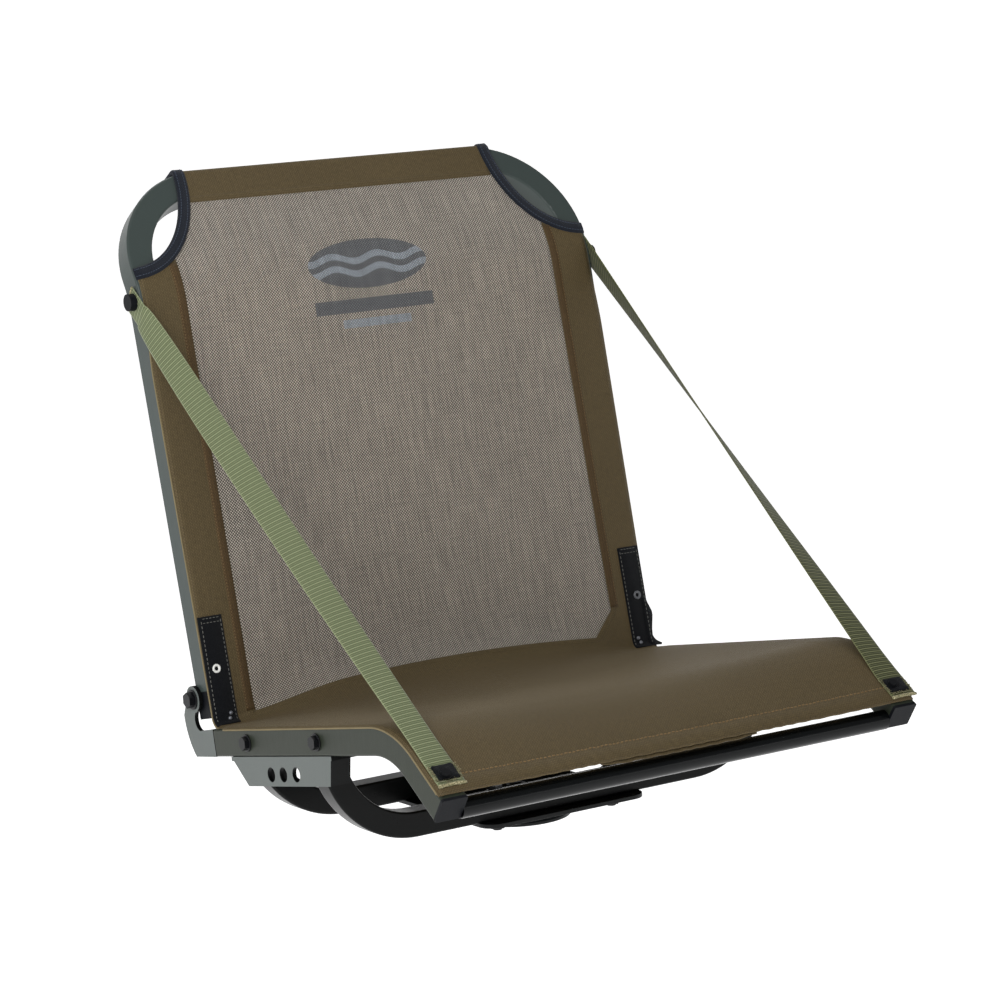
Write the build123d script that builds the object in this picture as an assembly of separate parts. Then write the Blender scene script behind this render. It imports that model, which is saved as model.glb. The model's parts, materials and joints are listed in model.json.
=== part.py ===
from build123d import *
from math import asin, cos, degrees, pi, radians, sin, tan
import os

# Folding sling seat head on a swivel. Millimetres, +Z up, the seat faces -Y, +X is the sitter's left.
# The origin is where the swivel axis meets the underside of the swivel base.

# Overall frame
SEAT_WIDTH = 508.0            # over the outer faces of the side rails
TUBE = 25.4                   # square rail and back tube
TUBE_WALL = 1.6
TUBE_EDGE = 2.2               # outside edge radius of the square tube
RAIL_X = (SEAT_WIDTH - TUBE) / 2

# Side rail centre line in the YZ plane: it rises to the front, then drops behind the knee
RAIL_REAR = Vector(0, 112.0, 93.8)
RAIL_KNEE = Vector(0, -203.8, 143.8)
RAIL_FRONT = Vector(0, -274.4, 94.3)
RAIL_BEND = 80.0
RAIL_END_Y = RAIL_REAR.Y + 1.2    # the hinge brackets start here, just clear of the tubes
RAIL_BOLT_Y = (50.0, -77.0)
RAIL_BOLT_R = 3.15

# Side brackets under the rails
BRACKET_REAR = 84.0           # Y of its ends along the rail
BRACKET_FRONT = -99.0
BRACKET_LOW_REAR = (51.7, 63.2)
BRACKET_LOW_FRONT = (-97.2, 87.1)
BRACKET_HOLE_Y = (13.0, -9.2, -32.7)
BRACKET_HOLE_R = 6.8
BRACKET_HOLE_DROP = -29.0     # below the rail's centre line

# Front bar
FRONT_BAR_R = 9.0
FRONT_BAR_WALL = 1.6
FRONT_BAR_BACK = 6.5          # behind the rails' front ends
FRONT_BAR_DROP = -7.6         # from the rails' centre line

# Backrest frame, described along its front face from the height of the hinge pivot
BACK_LEAN = 11.5              # degrees from vertical
BACK_TOP_LEAN = 31.5          # lean above the rearward bend near the top
BACK_FACE_Y = 124.0           # front face at pivot height
BACK_BEND_AT = 371.0          # length of the straight legs above pivot height
BACK_BEND = 87.3              # centre line radius of the rearward bend
BACK_HEIGHT = 506.0           # developed height of the front face
BACK_CORNER = 87.3            # centre line radius of the top corners
BACK_FOOT_HALF = 249.6        # half width over the tubes at the hinges
BACK_TOP_HALF = 253.0         # half width over the tubes at the top corners
FOOT_TOP = 11.0               # developed height of the back tubes' lower ends

# Hinge
PIVOT_Y = 150.0
PIVOT_Z = 129.5
PLATE = 4.0                   # hinge bracket and side bracket thickness
EYE_R = 12.5
PIVOT_BOLT_R = 4.0
RUNNING_GAP = 0.05

# Swivel
BOLT_PITCH = 127.0            # square swivel bolt pattern
SWIVEL_PLATE = 177.8
PLATE_BOTTOM = 16.0
HOOP_BOTTOM = 20.0
HOOP_TUBE = 23.4
HOOP_BEND = 84.0              # centre line radius
HOOP_HALF = 249.5             # half width over the hoop legs
HOOP_Y = {"front": -BOLT_PITCH / 2, "rear": BOLT_PITCH / 2}
BASE_R = 50.0
BASE_TOP = 9.0
BALL_R = 3.0
BALL_RING_R = 30.0
BALL_COUNT = 12
BALL_Z = (BASE_TOP + 14.0) / 2
PIVOT_R = 6.0
BASE_BOLT_PCD = 84.0
BASE_BOLT_R = 3.4

# Cloth and webbing
CLOTH = 1.2
SEAT_SAG = 8.0
PANEL_HALF = 206.0            # half width of the mesh panel in the back
PANEL_TOP = 471.0
PANEL_FOOT = 30.0
JUNCTION_BEND = 11.0          # radius of the fold between seat and back at the rails
CUT_X = 84.0                  # quarter-ellipse cut-outs at the back's top corners
CUT_S = 101.0
BINDING = 11.0
TAPE = 1.4                    # thickness of the binding on each side of the cloth
SLEEVE = 34.0                 # length of the top sleeve behind the bar
WEBBING = 25.4
WEBBING_THICK = 1.6
STRAP_TOP_X = 254.2
STRAP_BOLT_S = 378.0
STRAP_BOLT_R = 3.0
STRAP_X = 240.0               # at the strap's foot
STRAP_SCREW_BACK = 24.0       # behind the rail's front end
STRAP_SCREW_R = 2.4

# Left and right as seen from in front of the seat
SIDES = {"left": -1, "right": 1}

os.makedirs("parts", exist_ok=True)


def save(name, shapes):
    """Write one node: a single solid, or several separate ones that share a name."""
    shape = Compound(children=list(shapes)) if isinstance(shapes, list) else shapes
    export_step(shape, f"parts/{name}.step")
    return shape


def rod(radius, start, end):
    """A round bar between two points."""
    start, end = Vector(*start), Vector(*end)
    run = end - start
    plane = Plane(origin=start, z_dir=run.normalized())
    return Solid.make_cylinder(radius, run.length, plane)


def ring(outer, inner, start, end):
    return rod(outer, start, end) - rod(inner, start, end)


def hexagon(across_flats, start, end):
    """A hexagonal head or nut blank between two points."""
    start, end = Vector(*start), Vector(*end)
    run = end - start
    plane = Plane(origin=start, z_dir=run.normalized())
    outline = plane * RegularPolygon(across_flats / 2, 6, major_radius=False)
    return extrude(outline, run.length, dir=run.normalized()).solid()


def slab(x_low, x_high, outline):
    """A YZ outline made solid between two X positions."""
    points = [(x_low, y, z) for y, z in outline]
    face = Face(Wire.make_polygon([Vector(*p) for p in points], close=True))
    return Solid.extrude(face, Vector(x_high - x_low, 0, 0))


def mirrored(shape):
    return shape.mirror(Plane.YZ)


def unit(yz_angle):
    """Direction in the YZ plane, measured in degrees from +Y towards +Z."""
    return Vector(0, cos(radians(yz_angle)), sin(radians(yz_angle)))


def bent_path(points, radii):
    """Straight runs through the points, joined by tangent arcs at the inner points."""
    points = [Vector(*p) for p in points]
    edges = []
    start = points[0]
    for index, radius in enumerate(radii):
        corner, after = points[index + 1], points[index + 2]
        inward = (start - corner).normalized()
        outward = (after - corner).normalized()
        half = radians(inward.get_angle(outward) / 2)
        first = corner + inward * (radius / tan(half))
        last = corner + outward * (radius / tan(half))
        middle = corner + (inward + outward).normalized() * (radius / sin(half) - radius)
        edges += [Edge.make_line(start, first), Edge.make_three_point_arc(first, middle, last)]
        start = last
    edges.append(Edge.make_line(start, points[-1]))
    return Wire(edges)


def square_tube(path, size, wall, depth_dir):
    """A hollow square tube swept along a path; depth_dir is one of its sides at the start."""
    start = path.position_at(0)
    plane = Plane(origin=start, x_dir=depth_dir, z_dir=path.tangent_at(0))
    outer = plane * RectangleRounded(size, size, TUBE_EDGE)
    inner = plane * Rectangle(size - 2 * wall, size - 2 * wall)
    return (sweep(outer, path) - sweep(inner, path)).solid()


# ---------------------------------------------------------------- rail geometry
RAIL_SLOPE = (RAIL_KNEE - RAIL_REAR).normalized()
RAIL_UP = Vector(0, -RAIL_SLOPE.Z, RAIL_SLOPE.Y) * -1
FRONT_SLOPE = (RAIL_FRONT - RAIL_KNEE).normalized()
FRONT_UP = Vector(0, -FRONT_SLOPE.Z, FRONT_SLOPE.Y) * -1
RAIL_ANGLE = asin(RAIL_SLOPE.Z)


def along_rail(y, up=0.0):
    """YZ point on the rear stretch of the rail at a given Y, moved along its upward normal."""
    z = RAIL_REAR.Z + (RAIL_REAR.Y - y) * tan(RAIL_ANGLE)
    return y + RAIL_UP.Y * up, z + RAIL_UP.Z * up


def along_front(back_from_end, up=0.0):
    """YZ point on the sloping front stretch of the rail."""
    point = RAIL_FRONT - FRONT_SLOPE * back_from_end + FRONT_UP * up
    return point.Y, point.Z


def rail_path(up, front_from=0.0, rear_y=RAIL_REAR.Y):
    """The rail's line moved along its upward normal, in the plane X = 0."""
    knee_shift = up / cos((RAIL_SLOPE.get_angle(FRONT_SLOPE)) * pi / 360)
    knee = RAIL_KNEE + (RAIL_UP + FRONT_UP).normalized() * knee_shift
    ends = [(0, *along_rail(rear_y, up)), knee, (0, *along_front(front_from, up))]
    return bent_path(ends, [RAIL_BEND + up])


# ---------------------------------------------------------------- back geometry
BACK_UP = unit(90 - BACK_LEAN)
BACK_OUT = unit(180 - BACK_LEAN)
TOP_UP = unit(90 - BACK_TOP_LEAN)
TOP_OUT = unit(180 - BACK_TOP_LEAN)
BACK_FOOT = Vector(0, BACK_FACE_Y, PIVOT_Z)


def bend_corner(out):
    """Where the back's two straight stretches meet, for a line that stands out from the front face."""
    turn = radians(BACK_TOP_LEAN - BACK_LEAN)
    reach = (BACK_BEND + TUBE / 2) * tan(turn / 2)
    face = BACK_FOOT + BACK_UP * (BACK_BEND_AT + reach)
    return face + (BACK_OUT + TOP_OUT).normalized() * (out / cos(turn / 2))


def back_point(s, out=0.0, x=0.0):
    """A point at developed height s on the back, standing out from its front face."""
    turn = radians(BACK_TOP_LEAN - BACK_LEAN)
    radius = BACK_BEND + TUBE / 2
    past = s - BACK_BEND_AT - radius * turn
    if s <= BACK_BEND_AT:
        point = BACK_FOOT + BACK_UP * s + BACK_OUT * out
    elif past < 0:
        centre = BACK_FOOT + BACK_UP * BACK_BEND_AT - BACK_OUT * radius
        outward = unit(180 - BACK_LEAN - degrees((s - BACK_BEND_AT) / radius))
        point = centre + outward * (radius + out)
    else:
        point = bend_corner(0) + TOP_UP * (past + radius * tan(turn / 2)) + TOP_OUT * out
    return Vector(x, point.Y, point.Z)


# ---------------------------------------------------------------- side rails and front bar
def seat_rail(side):
    path = rail_path(0).moved(Location((side * RAIL_X, 0, 0)))
    cap_trim = slab(-300, 300, [
        along_front(-5, -30), along_front(3, -30), along_front(3, 30), along_front(-5, 30)])
    tube = square_tube(path, TUBE, TUBE_WALL, Vector(1, 0, 0)) - cap_trim
    for y in RAIL_BOLT_Y:
        y_axis, z_axis = along_rail(y)
        tube -= rod(RAIL_BOLT_R + 0.2, (side * 220, y_axis, z_axis), (side * 260, y_axis, z_axis))
    start = Vector(side * STRAP_X, *along_front(STRAP_SCREW_BACK, 5))
    tube -= rod(STRAP_SCREW_R + 0.1, start, start + FRONT_UP * 10)
    return tube


def rail_end_cap(side):
    """Moulded plug with a square head as large as the tube."""
    inside = TUBE / 2 - TUBE_WALL - 0.1
    half = TUBE / 2
    low, high = side * RAIL_X - half, side * RAIL_X + half
    head = slab(low, high, [
        along_front(0, -half), along_front(3, -half), along_front(3, half), along_front(0, half)])
    long_edges = head.edges().filter_by(lambda e: abs(e.tangent_at(0).dot(FRONT_SLOPE)) > 0.99)
    head = head.fillet(1.5, long_edges)
    plug = slab(side * RAIL_X - inside, side * RAIL_X + inside, [
        along_front(2, -inside), along_front(12, -inside), along_front(12, inside), along_front(2, inside)])
    return head + plug


def front_bar():
    """Round tube between the rails' inner faces, low at their front ends."""
    y, z = along_front(FRONT_BAR_BACK, FRONT_BAR_DROP)
    half = RAIL_X - TUBE / 2
    return ring(FRONT_BAR_R, FRONT_BAR_R - FRONT_BAR_WALL, (-half, y, z), (half, y, z))


# ---------------------------------------------------------------- side brackets and hoops
def side_bracket(side):
    """Folded plate: web with three spare holes, flange under the rail, upstand on its inner face."""
    under = -TUBE / 2
    outer, inner = SEAT_WIDTH / 2, SEAT_WIDTH / 2 - TUBE
    rear, front = BRACKET_REAR, BRACKET_FRONT
    web = slab(outer - PLATE, outer, [
        along_rail(rear, under), BRACKET_LOW_REAR, BRACKET_LOW_FRONT, along_rail(front, under)])
    flange = slab(inner - PLATE, outer, [
        along_rail(rear, under), along_rail(rear, under - PLATE),
        along_rail(front, under - PLATE), along_rail(front, under)])
    upstand = slab(inner - PLATE, inner, [
        along_rail(rear, under - PLATE), along_rail(front, under - PLATE),
        along_rail(front, under + 22), along_rail(rear, under + 22)])
    lip_y, lip_z = BRACKET_LOW_FRONT
    front_lip = slab(outer - 20, outer, [
        along_rail(front, under), along_rail(front + PLATE, under), (lip_y + PLATE, lip_z), (lip_y, lip_z)])
    bracket = web + flange + upstand + front_lip
    for y in BRACKET_HOLE_Y:
        y_axis, z_axis = along_rail(y, BRACKET_HOLE_DROP)
        bracket -= rod(BRACKET_HOLE_R, (outer - 10, y_axis, z_axis), (outer + 10, y_axis, z_axis))
    for y in RAIL_BOLT_Y:
        y_axis, z_axis = along_rail(y)
        bracket -= rod(RAIL_BOLT_R + 0.2, (inner - 10, y_axis, z_axis), (inner + 2, y_axis, z_axis))
    return bracket if side > 0 else mirrored(bracket)


def hoop(y):
    """U of square tube whose legs stop against the side bracket flanges."""
    half = HOOP_HALF - HOOP_TUBE / 2
    low = HOOP_BOTTOM + HOOP_TUBE / 2
    path = bent_path([(-half, y, 130), (-half, y, low), (half, y, low), (half, y, 130)], [HOOP_BEND] * 2)
    tube = square_tube(path, HOOP_TUBE, TUBE_WALL, Vector(1, 0, 0))
    flange_line = -TUBE / 2 - PLATE
    above = slab(-300, 300, [
        along_rail(120, flange_line), along_rail(-120, flange_line),
        along_rail(-120, 80), along_rail(120, 80)])
    tube -= above
    for x in (-BOLT_PITCH / 2, BOLT_PITCH / 2):
        tube -= rod(4.2, (x, y, HOOP_BOTTOM - 5), (x, y, HOOP_BOTTOM + HOOP_TUBE + 5))
    return tube


def rail_fasteners():
    """Through bolts with outer washers and inner nuts, two in each rail."""
    bolts, washers, nuts = [], [], []
    face, inner = SEAT_WIDTH / 2, SEAT_WIDTH / 2 - TUBE - PLATE
    for side in SIDES.values():
        for y_rail in RAIL_BOLT_Y:
            y, z = along_rail(y_rail)
            washers.append(ring(8.0, RAIL_BOLT_R + 0.15, (side * face, y, z), (side * (face + 1.4), y, z)))
            washers.append(ring(7.0, RAIL_BOLT_R + 0.15, (side * inner, y, z), (side * (inner - 1.2), y, z)))
            head = hexagon(11.1, (side * (face + 1.4), y, z), (side * (face + 5.6), y, z))
            shank = rod(RAIL_BOLT_R, (side * (face + 1.4), y, z), (side * (inner - 9.0), y, z))
            bolts.append(head + shank)
            blank = hexagon(11.1, (side * (inner - 1.2), y, z), (side * (inner - 7.0), y, z))
            nuts.append(blank - rod(RAIL_BOLT_R, (side * inner, y, z), (side * (inner - 10), y, z)))
    return bolts, washers, nuts


# ---------------------------------------------------------------- swivel
def swivel_plate():
    plate = Box(SWIVEL_PLATE, SWIVEL_PLATE, 4, align=(Align.CENTER, Align.CENTER, Align.MIN))
    plate = fillet(plate.edges().filter_by(Axis.Z), 16)
    plate = Pos(0, 0, PLATE_BOTTOM) * plate - rod(PIVOT_R + RUNNING_GAP, (0, 0, 10), (0, 0, 30))
    for x in (-BOLT_PITCH / 2, BOLT_PITCH / 2):
        for y in HOOP_Y.values():
            plate -= rod(4.2, (x, y, 10), (x, y, 30))
    return plate.solid()


def ball_groove():
    """The torus of space that the balls run in."""
    return Solid.make_torus(BALL_RING_R, BALL_R + 0.05, Plane(origin=(0, 0, BALL_Z)))


def swivel_base():
    """Turned base: flat underside, tapered rim, ball groove on top, tapped holes for its support."""
    profile = Polyline(
        (0, 0), (BASE_R, 0), (BASE_R, 2.5), (BASE_R - 3.5, BASE_TOP), (0, BASE_TOP), close=True)
    base = revolve(Plane.XZ * make_face(profile), Axis.Z).solid()
    base -= ball_groove()
    base -= rod(PIVOT_R + 0.02, (0, 0, -1), (0, 0, 20))
    base -= rod(11.5, (0, 0, -1), (0, 0, 6))
    for index in range(4):
        x = BASE_BOLT_PCD / 2 * cos(radians(90 * index + 45))
        y = BASE_BOLT_PCD / 2 * sin(radians(90 * index + 45))
        base -= rod(BASE_BOLT_R, (x, y, -1), (x, y, 20))
    return base.solid()


def upper_race():
    """Hardened ring under the swivel plate."""
    race = ring(37, PIVOT_R + 4, (0, 0, 14), (0, 0, PLATE_BOTTOM))
    return (race - ball_groove()).solid()


def ball_places():
    step = 2 * pi / BALL_COUNT
    return [(BALL_RING_R * cos(i * step), BALL_RING_R * sin(i * step)) for i in range(BALL_COUNT)]


def ball_cage():
    cage = ring(34.5, 25.5, (0, 0, BALL_Z - 0.75), (0, 0, BALL_Z + 0.75))
    for x, y in ball_places():
        cage -= rod(BALL_R + 0.1, (x, y, 0), (x, y, 30))
    return cage.solid()


def swivel_fasteners():
    bolts, washers, nuts = [], [], []
    top = HOOP_BOTTOM + HOOP_TUBE
    for x in (-BOLT_PITCH / 2, BOLT_PITCH / 2):
        for y in HOOP_Y.values():
            washers.append(ring(8.5, 4.15, (x, y, top), (x, y, top + 1.4)))
            washers.append(ring(8.0, 4.15, (x, y, PLATE_BOTTOM), (x, y, PLATE_BOTTOM - 1.2)))
            head = hexagon(12.7, (x, y, top + 1.4), (x, y, top + 6.6))
            bolts.append(head + rod(4.0, (x, y, top + 1.4), (x, y, 8.2)))
            blank = hexagon(12.7, (x, y, PLATE_BOTTOM - 1.2), (x, y, 9.6))
            nuts.append(blank - rod(4.0, (x, y, 20), (x, y, 5)))
    return bolts, washers, nuts


# ---------------------------------------------------------------- hinges
def hinge_bracket(side):
    """Flat hook with the pivot eye, and a square plug that fills the rail's rear end."""
    outer = SEAT_WIDTH / 2
    low, high = along_rail(RAIL_END_Y, -TUBE / 2), along_rail(RAIL_END_Y, TUBE / 2)
    outline = [
        Line(low, (150.0, 75.2)),
        ThreePointArc((150.0, 75.2), (163.5, 93.0), (169.5, 112.0)),
        Line((169.5, 112.0), (PIVOT_Y + EYE_R - 0.5, PIVOT_Z)),
        Line((PIVOT_Y + EYE_R - 0.5, PIVOT_Z), (PIVOT_Y - 7.5, PIVOT_Z - 8.5)),
        ThreePointArc((PIVOT_Y - 7.5, PIVOT_Z - 8.5), (148.5, 110.0), (139.5, 101.2)),
        Line((139.5, 101.2), high),
        Line(high, low)]
    hook = Pos(outer - PLATE, 0, 0) * extrude(Plane.YZ * make_face(outline), PLATE)
    hook += rod(EYE_R, (outer - PLATE, PIVOT_Y, PIVOT_Z), (outer, PIVOT_Y, PIVOT_Z))
    inside = TUBE / 2 - TUBE_WALL - 0.1
    plug = slab(RAIL_X - inside, RAIL_X + inside, [
        along_rail(80, -inside), along_rail(80, inside),
        along_rail(RAIL_END_Y, inside), along_rail(RAIL_END_Y, -inside)])
    shoulder = slab(outer - TUBE, outer, [low, high, along_rail(118, TUBE / 2), along_rail(118, -TUBE / 2)])
    bracket = hook + plug + shoulder
    bracket -= rod(PIVOT_BOLT_R + 0.15, (outer - 10, PIVOT_Y, PIVOT_Z), (outer + 10, PIVOT_Y, PIVOT_Z))
    return bracket if side > 0 else mirrored(bracket)


def hinge_block(side):
    """Moulded foot that fills the back tube's end and carries the pivot bore behind it."""
    high, low = BACK_FOOT_HALF - 0.1, BACK_FOOT_HALF - TUBE + 0.1
    inside = TUBE / 2 - TUBE_WALL - 0.3
    middle = BACK_FOOT_HALF - TUBE / 2

    def at(s, out):
        point = BACK_FOOT + BACK_UP * s + BACK_OUT * out
        return point.Y, point.Z

    seat = FOOT_TOP - 0.2
    foot = slab(low, high, [at(-14.5, -TUBE), at(-14.5, -0.3), at(seat, -0.3), at(seat, -TUBE)])
    eye = rod(EYE_R - 0.5, (low, PIVOT_Y, PIVOT_Z), (high, PIVOT_Y, PIVOT_Z))
    eye -= slab(low - 5, high + 5, [at(seat, -TUBE - 0.3), at(seat, 5), at(40, 5), at(40, -TUBE - 0.3)])
    plug = slab(middle - inside, middle + inside, [
        at(FOOT_TOP - 1, -TUBE / 2 - inside), at(FOOT_TOP - 1, -TUBE / 2 + inside),
        at(FOOT_TOP + 24, -TUBE / 2 + inside), at(FOOT_TOP + 24, -TUBE / 2 - inside)])
    bore = rod(PIVOT_BOLT_R + RUNNING_GAP, (low - 5, PIVOT_Y, PIVOT_Z), (high + 5, PIVOT_Y, PIVOT_Z))
    block = foot + eye + plug - bore
    return block if side > 0 else mirrored(block)


def hinge_fasteners():
    bolts, washers, nuts = [], [], []
    face = SEAT_WIDTH / 2
    inner = BACK_FOOT_HALF - TUBE - 0.3
    y, z = PIVOT_Y, PIVOT_Z
    for side in SIDES.values():
        washers.append(ring(9.5, PIVOT_BOLT_R + 0.1, (side * face, y, z), (side * (face + 1.5), y, z)))
        washers.append(ring(8.5, PIVOT_BOLT_R + 0.1, (side * inner, y, z), (side * (inner - 1.5), y, z)))
        head = hexagon(13.0, (side * (face + 1.5), y, z), (side * (face + 6.8), y, z))
        shank = rod(PIVOT_BOLT_R, (side * (face + 1.5), y, z), (side * (inner - 10.5), y, z))
        bolts.append(head + shank)
        blank = hexagon(13.0, (side * (inner - 1.5), y, z), (side * (inner - 8.5), y, z))
        nuts.append(blank - rod(PIVOT_BOLT_R, (side * inner, y, z), (side * (inner - 12), y, z)))
    return bolts, washers, nuts


# ---------------------------------------------------------------- backrest
def back_frame():
    """One bent tube: two legs, a rearward bend near the top, two corners and the top bar."""
    half_foot = BACK_FOOT_HALF - TUBE / 2
    half_top = BACK_TOP_HALF - TUBE / 2
    foot = back_point(FOOT_TOP, -TUBE / 2)
    bend = bend_corner(-TUBE / 2)
    top = back_point(BACK_HEIGHT - TUBE / 2, -TUBE / 2)
    points = [
        (-half_foot, foot.Y, foot.Z), (-half_top, bend.Y, bend.Z), (-half_top, top.Y, top.Z),
        (half_top, top.Y, top.Z), (half_top, bend.Y, bend.Z), (half_foot, foot.Y, foot.Z)]
    path = bent_path(points, [BACK_BEND, BACK_CORNER, BACK_CORNER, BACK_BEND])
    tube = square_tube(path, TUBE, TUBE_WALL, Vector(1, 0, 0))
    for side in SIDES.values():
        start = strap_bolt_axis(side * 215)
        end = strap_bolt_axis(side * 265)
        tube -= rod(STRAP_BOLT_R + 0.15, start, end)
    return tube


def strap_bolt_axis(x):
    point = back_point(STRAP_BOLT_S, -TUBE / 2 + 3)
    return x, point.Y, point.Z


def sheet_strip(s_low, s_high, out_low, out_high, half_width):
    """A strip of the back's face between two developed heights, following the bend."""
    turn = radians(BACK_TOP_LEAN - BACK_LEAN)
    radius = BACK_BEND + TUBE / 2

    def line(out):
        ends = [back_point(s_low, out), bend_corner(out), back_point(s_high, out)]
        if s_high <= BACK_BEND_AT:
            return Wire([Edge.make_line(ends[0], ends[2])])
        return bent_path(ends, [radius + out])

    near, far = line(out_low), line(out_high)
    sides = [Edge.make_line(near @ 0, far @ 0), Edge.make_line(near @ 1, far @ 1)]
    face = Face(Wire(list(near.edges()) + list(far.edges()) + sides))
    return Solid.extrude(face.moved(Location((-half_width, 0, 0))), Vector(2 * half_width, 0, 0))


def corner_cut(side, grow=0.0):
    """Quarter ellipse taken out of the back cloth at a top corner."""
    centre = back_point(BACK_HEIGHT + 1.0, 0, side * (BACK_TOP_HALF + 0.5))
    plane = Plane(origin=centre, x_dir=Vector(1, 0, 0), z_dir=TOP_OUT)
    return extrude(plane * Ellipse(CUT_X + grow, CUT_S + grow), 40, both=True).solid()


def back_cloth():
    """Whole back cloth: front face with a sleeve over the top bar, less the corner cut-outs."""
    face = sheet_strip(PANEL_FOOT, BACK_HEIGHT + CLOTH, 0.05, 0.05 + CLOTH, BACK_FOOT_HALF)
    top = BACK_HEIGHT
    cover = wall(top + 0.05, top + CLOTH, -TUBE - CLOTH, 0.1, BACK_FOOT_HALF)
    rear = wall(top - SLEEVE, top + CLOTH, -TUBE - CLOTH, -TUBE - 0.05, BACK_FOOT_HALF)
    cloth = face + cover + rear
    for side in SIDES.values():
        cloth -= corner_cut(side)
    return cloth


def back_panel_space():
    strip = sheet_strip(PANEL_FOOT - 5, PANEL_TOP, -2, 4, PANEL_HALF)
    for side in SIDES.values():
        strip -= corner_cut(side, BINDING)
    return strip


def wall(s_low, s_high, out_low, out_high, half_width):
    """A flat slab on the back's top stretch between two developed heights and two depths."""
    corners = [back_point(s_low, out_low), back_point(s_high, out_low),
               back_point(s_high, out_high), back_point(s_low, out_high)]
    return slab(-half_width, half_width, [(p.Y, p.Z) for p in corners])


def corner_binding(side, cloth, frame):
    """Tape folded over the cut edge of the cloth, and over the top bar beside the sleeve."""
    band = corner_cut(side, BINDING) - corner_cut(side, -1.5)
    half, skin = BACK_FOOT_HALF + 0.2, CLOTH + TAPE
    front = sheet_strip(PANEL_FOOT, BACK_HEIGHT + skin, -TAPE, skin, half)
    top = wall(BACK_HEIGHT + 0.05, BACK_HEIGHT + skin, -TUBE - skin, skin, half)
    rear = wall(BACK_HEIGHT - SLEEVE, BACK_HEIGHT + skin, -TUBE - skin, -TUBE - 0.05, half)
    return ((front + top + rear) & band) - cloth - frame


def patch(side):
    """Reinforcing tape on the lower edge of the back cloth."""
    low, high = sorted((side * 225.0, side * 249.4))
    corners = [back_point(-10, 1.35), back_point(79, 1.35), back_point(79, 2.75), back_point(-10, 2.75)]
    return slab(low, high, [(p.Y, p.Z) for p in corners])


def patch_trim():
    """Eyelet rings high on the patches and two small rivets at the foot of each."""
    eyelets, rivets = [], []
    for side in SIDES.values():
        near, far = back_point(30, 2.8, side * 238.8), back_point(30, 3.7, side * 238.8)
        eyelets.append(ring(4.5, 2.1, near, far))
        for s, x in ((-3.0, 232.5), (2.5, 230.5)):
            rivets.append(rod(1.6, back_point(s, 2.8, side * x), back_point(s, 3.6, side * x)))
    return eyelets, rivets


# ---------------------------------------------------------------- seat cloth
def seat_sling():
    """Sheet over both rails, sagging a little between them."""
    path = rail_path(TUBE / 2 + 0.05, front_from=4.0, rear_y=106.0)
    start = path @ 0
    half, inner = SEAT_WIDTH / 2, SEAT_WIDTH / 2 - TUBE
    plane = Plane(origin=start, x_dir=Vector(1, 0, 0), z_dir=path % 0)
    if plane.y_dir.Z < 0:
        plane = Plane(origin=start, x_dir=Vector(-1, 0, 0), z_dir=path % 0)
    outline = [
        Line((-half, 0), (-inner, 0)),
        ThreePointArc((-inner, 0), (0, -SEAT_SAG), (inner, 0)),
        Line((inner, 0), (half, 0)),
        Line((half, 0), (half, CLOTH)),
        Line((half, CLOTH), (inner, CLOTH)),
        ThreePointArc((inner, CLOTH), (0, CLOTH - SEAT_SAG), (-inner, CLOTH)),
        Line((-inner, CLOTH), (-half, CLOTH)),
        Line((-half, CLOTH), (-half, 0))]
    sheet = sweep(plane * make_face(outline), path)
    for side in SIDES.values():
        sheet -= strap_screw_hole(side)
    return sheet.solid()


def crossing(first, first_dir, second, second_dir):
    """Where two lines in the YZ plane cross."""
    gap = second - first
    scale = first_dir.Y * second_dir.Z - first_dir.Z * second_dir.Y
    reach = (gap.Y * second_dir.Z - gap.Z * second_dir.Y) / scale
    return first + first_dir * reach


def sling_junction():
    """The cloth between seat and back, which folds at the hinge."""

    def line(out):
        rear = Vector(0, *along_rail(106.3, TUBE / 2 + 0.05 + out))
        top = back_point(PANEL_FOOT - 0.2, 0.05 + out)
        corner = crossing(rear, RAIL_SLOPE, top, BACK_UP)
        return bent_path([rear, corner, top], [JUNCTION_BEND - out])

    near, far = line(0.0), line(CLOTH)
    sides = [Edge.make_line(near @ 0, far @ 0), Edge.make_line(near @ 1, far @ 1)]
    face = Face(Wire(list(near.edges()) + list(far.edges()) + sides))
    half = BACK_FOOT_HALF - 0.2
    return Solid.extrude(face.moved(Location((-half, 0, 0))), Vector(2 * half, 0, 0))


# ---------------------------------------------------------------- straps
def strap(side):
    """Flat webbing that turns a quarter between the back tube's side and the rail's top."""
    top = Vector(side * STRAP_TOP_X, *strap_bolt_axis(0)[1:])
    low_y, low_z = along_front(STRAP_SCREW_BACK, TUBE / 2 + CLOTH + 1.2)
    bottom = Vector(side * STRAP_X, low_y, low_z)
    run = (bottom - top).normalized()
    flat_x = Vector(side, 0, 0)
    landing = bottom - FRONT_SLOPE * 16
    stations = 9
    sections = [webbing_section(top - run * 14, run, flat_x), webbing_section(top + run * 14, run, flat_x)]
    for index in range(1, stations):
        share = index / stations
        centre = top + (landing - top) * share
        angle = -side * 90.0 * share
        normal = flat_x.rotate(Axis((0, 0, 0), run), angle * -1)
        sections.append(webbing_section(centre, run, normal))
    sections.append(webbing_section(landing, FRONT_SLOPE, FRONT_UP))
    sections.append(webbing_section(bottom + FRONT_SLOPE * 12, FRONT_SLOPE, FRONT_UP))
    webbing = Solid.make_loft(sections, ruled=True)
    bolt_hole = rod(STRAP_BOLT_R + 0.1, strap_bolt_axis(side * 230), strap_bolt_axis(side * 280))
    return webbing - bolt_hole - strap_screw_hole(side)


def strap_screw_hole(side):
    """Space for the screw that holds the strap and the cloth to the rail."""
    x = side * STRAP_X
    low, high = along_front(STRAP_SCREW_BACK, 0), along_front(STRAP_SCREW_BACK, 40)
    return rod(STRAP_SCREW_R + 0.1, (x, *low), (x, *high))


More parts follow.
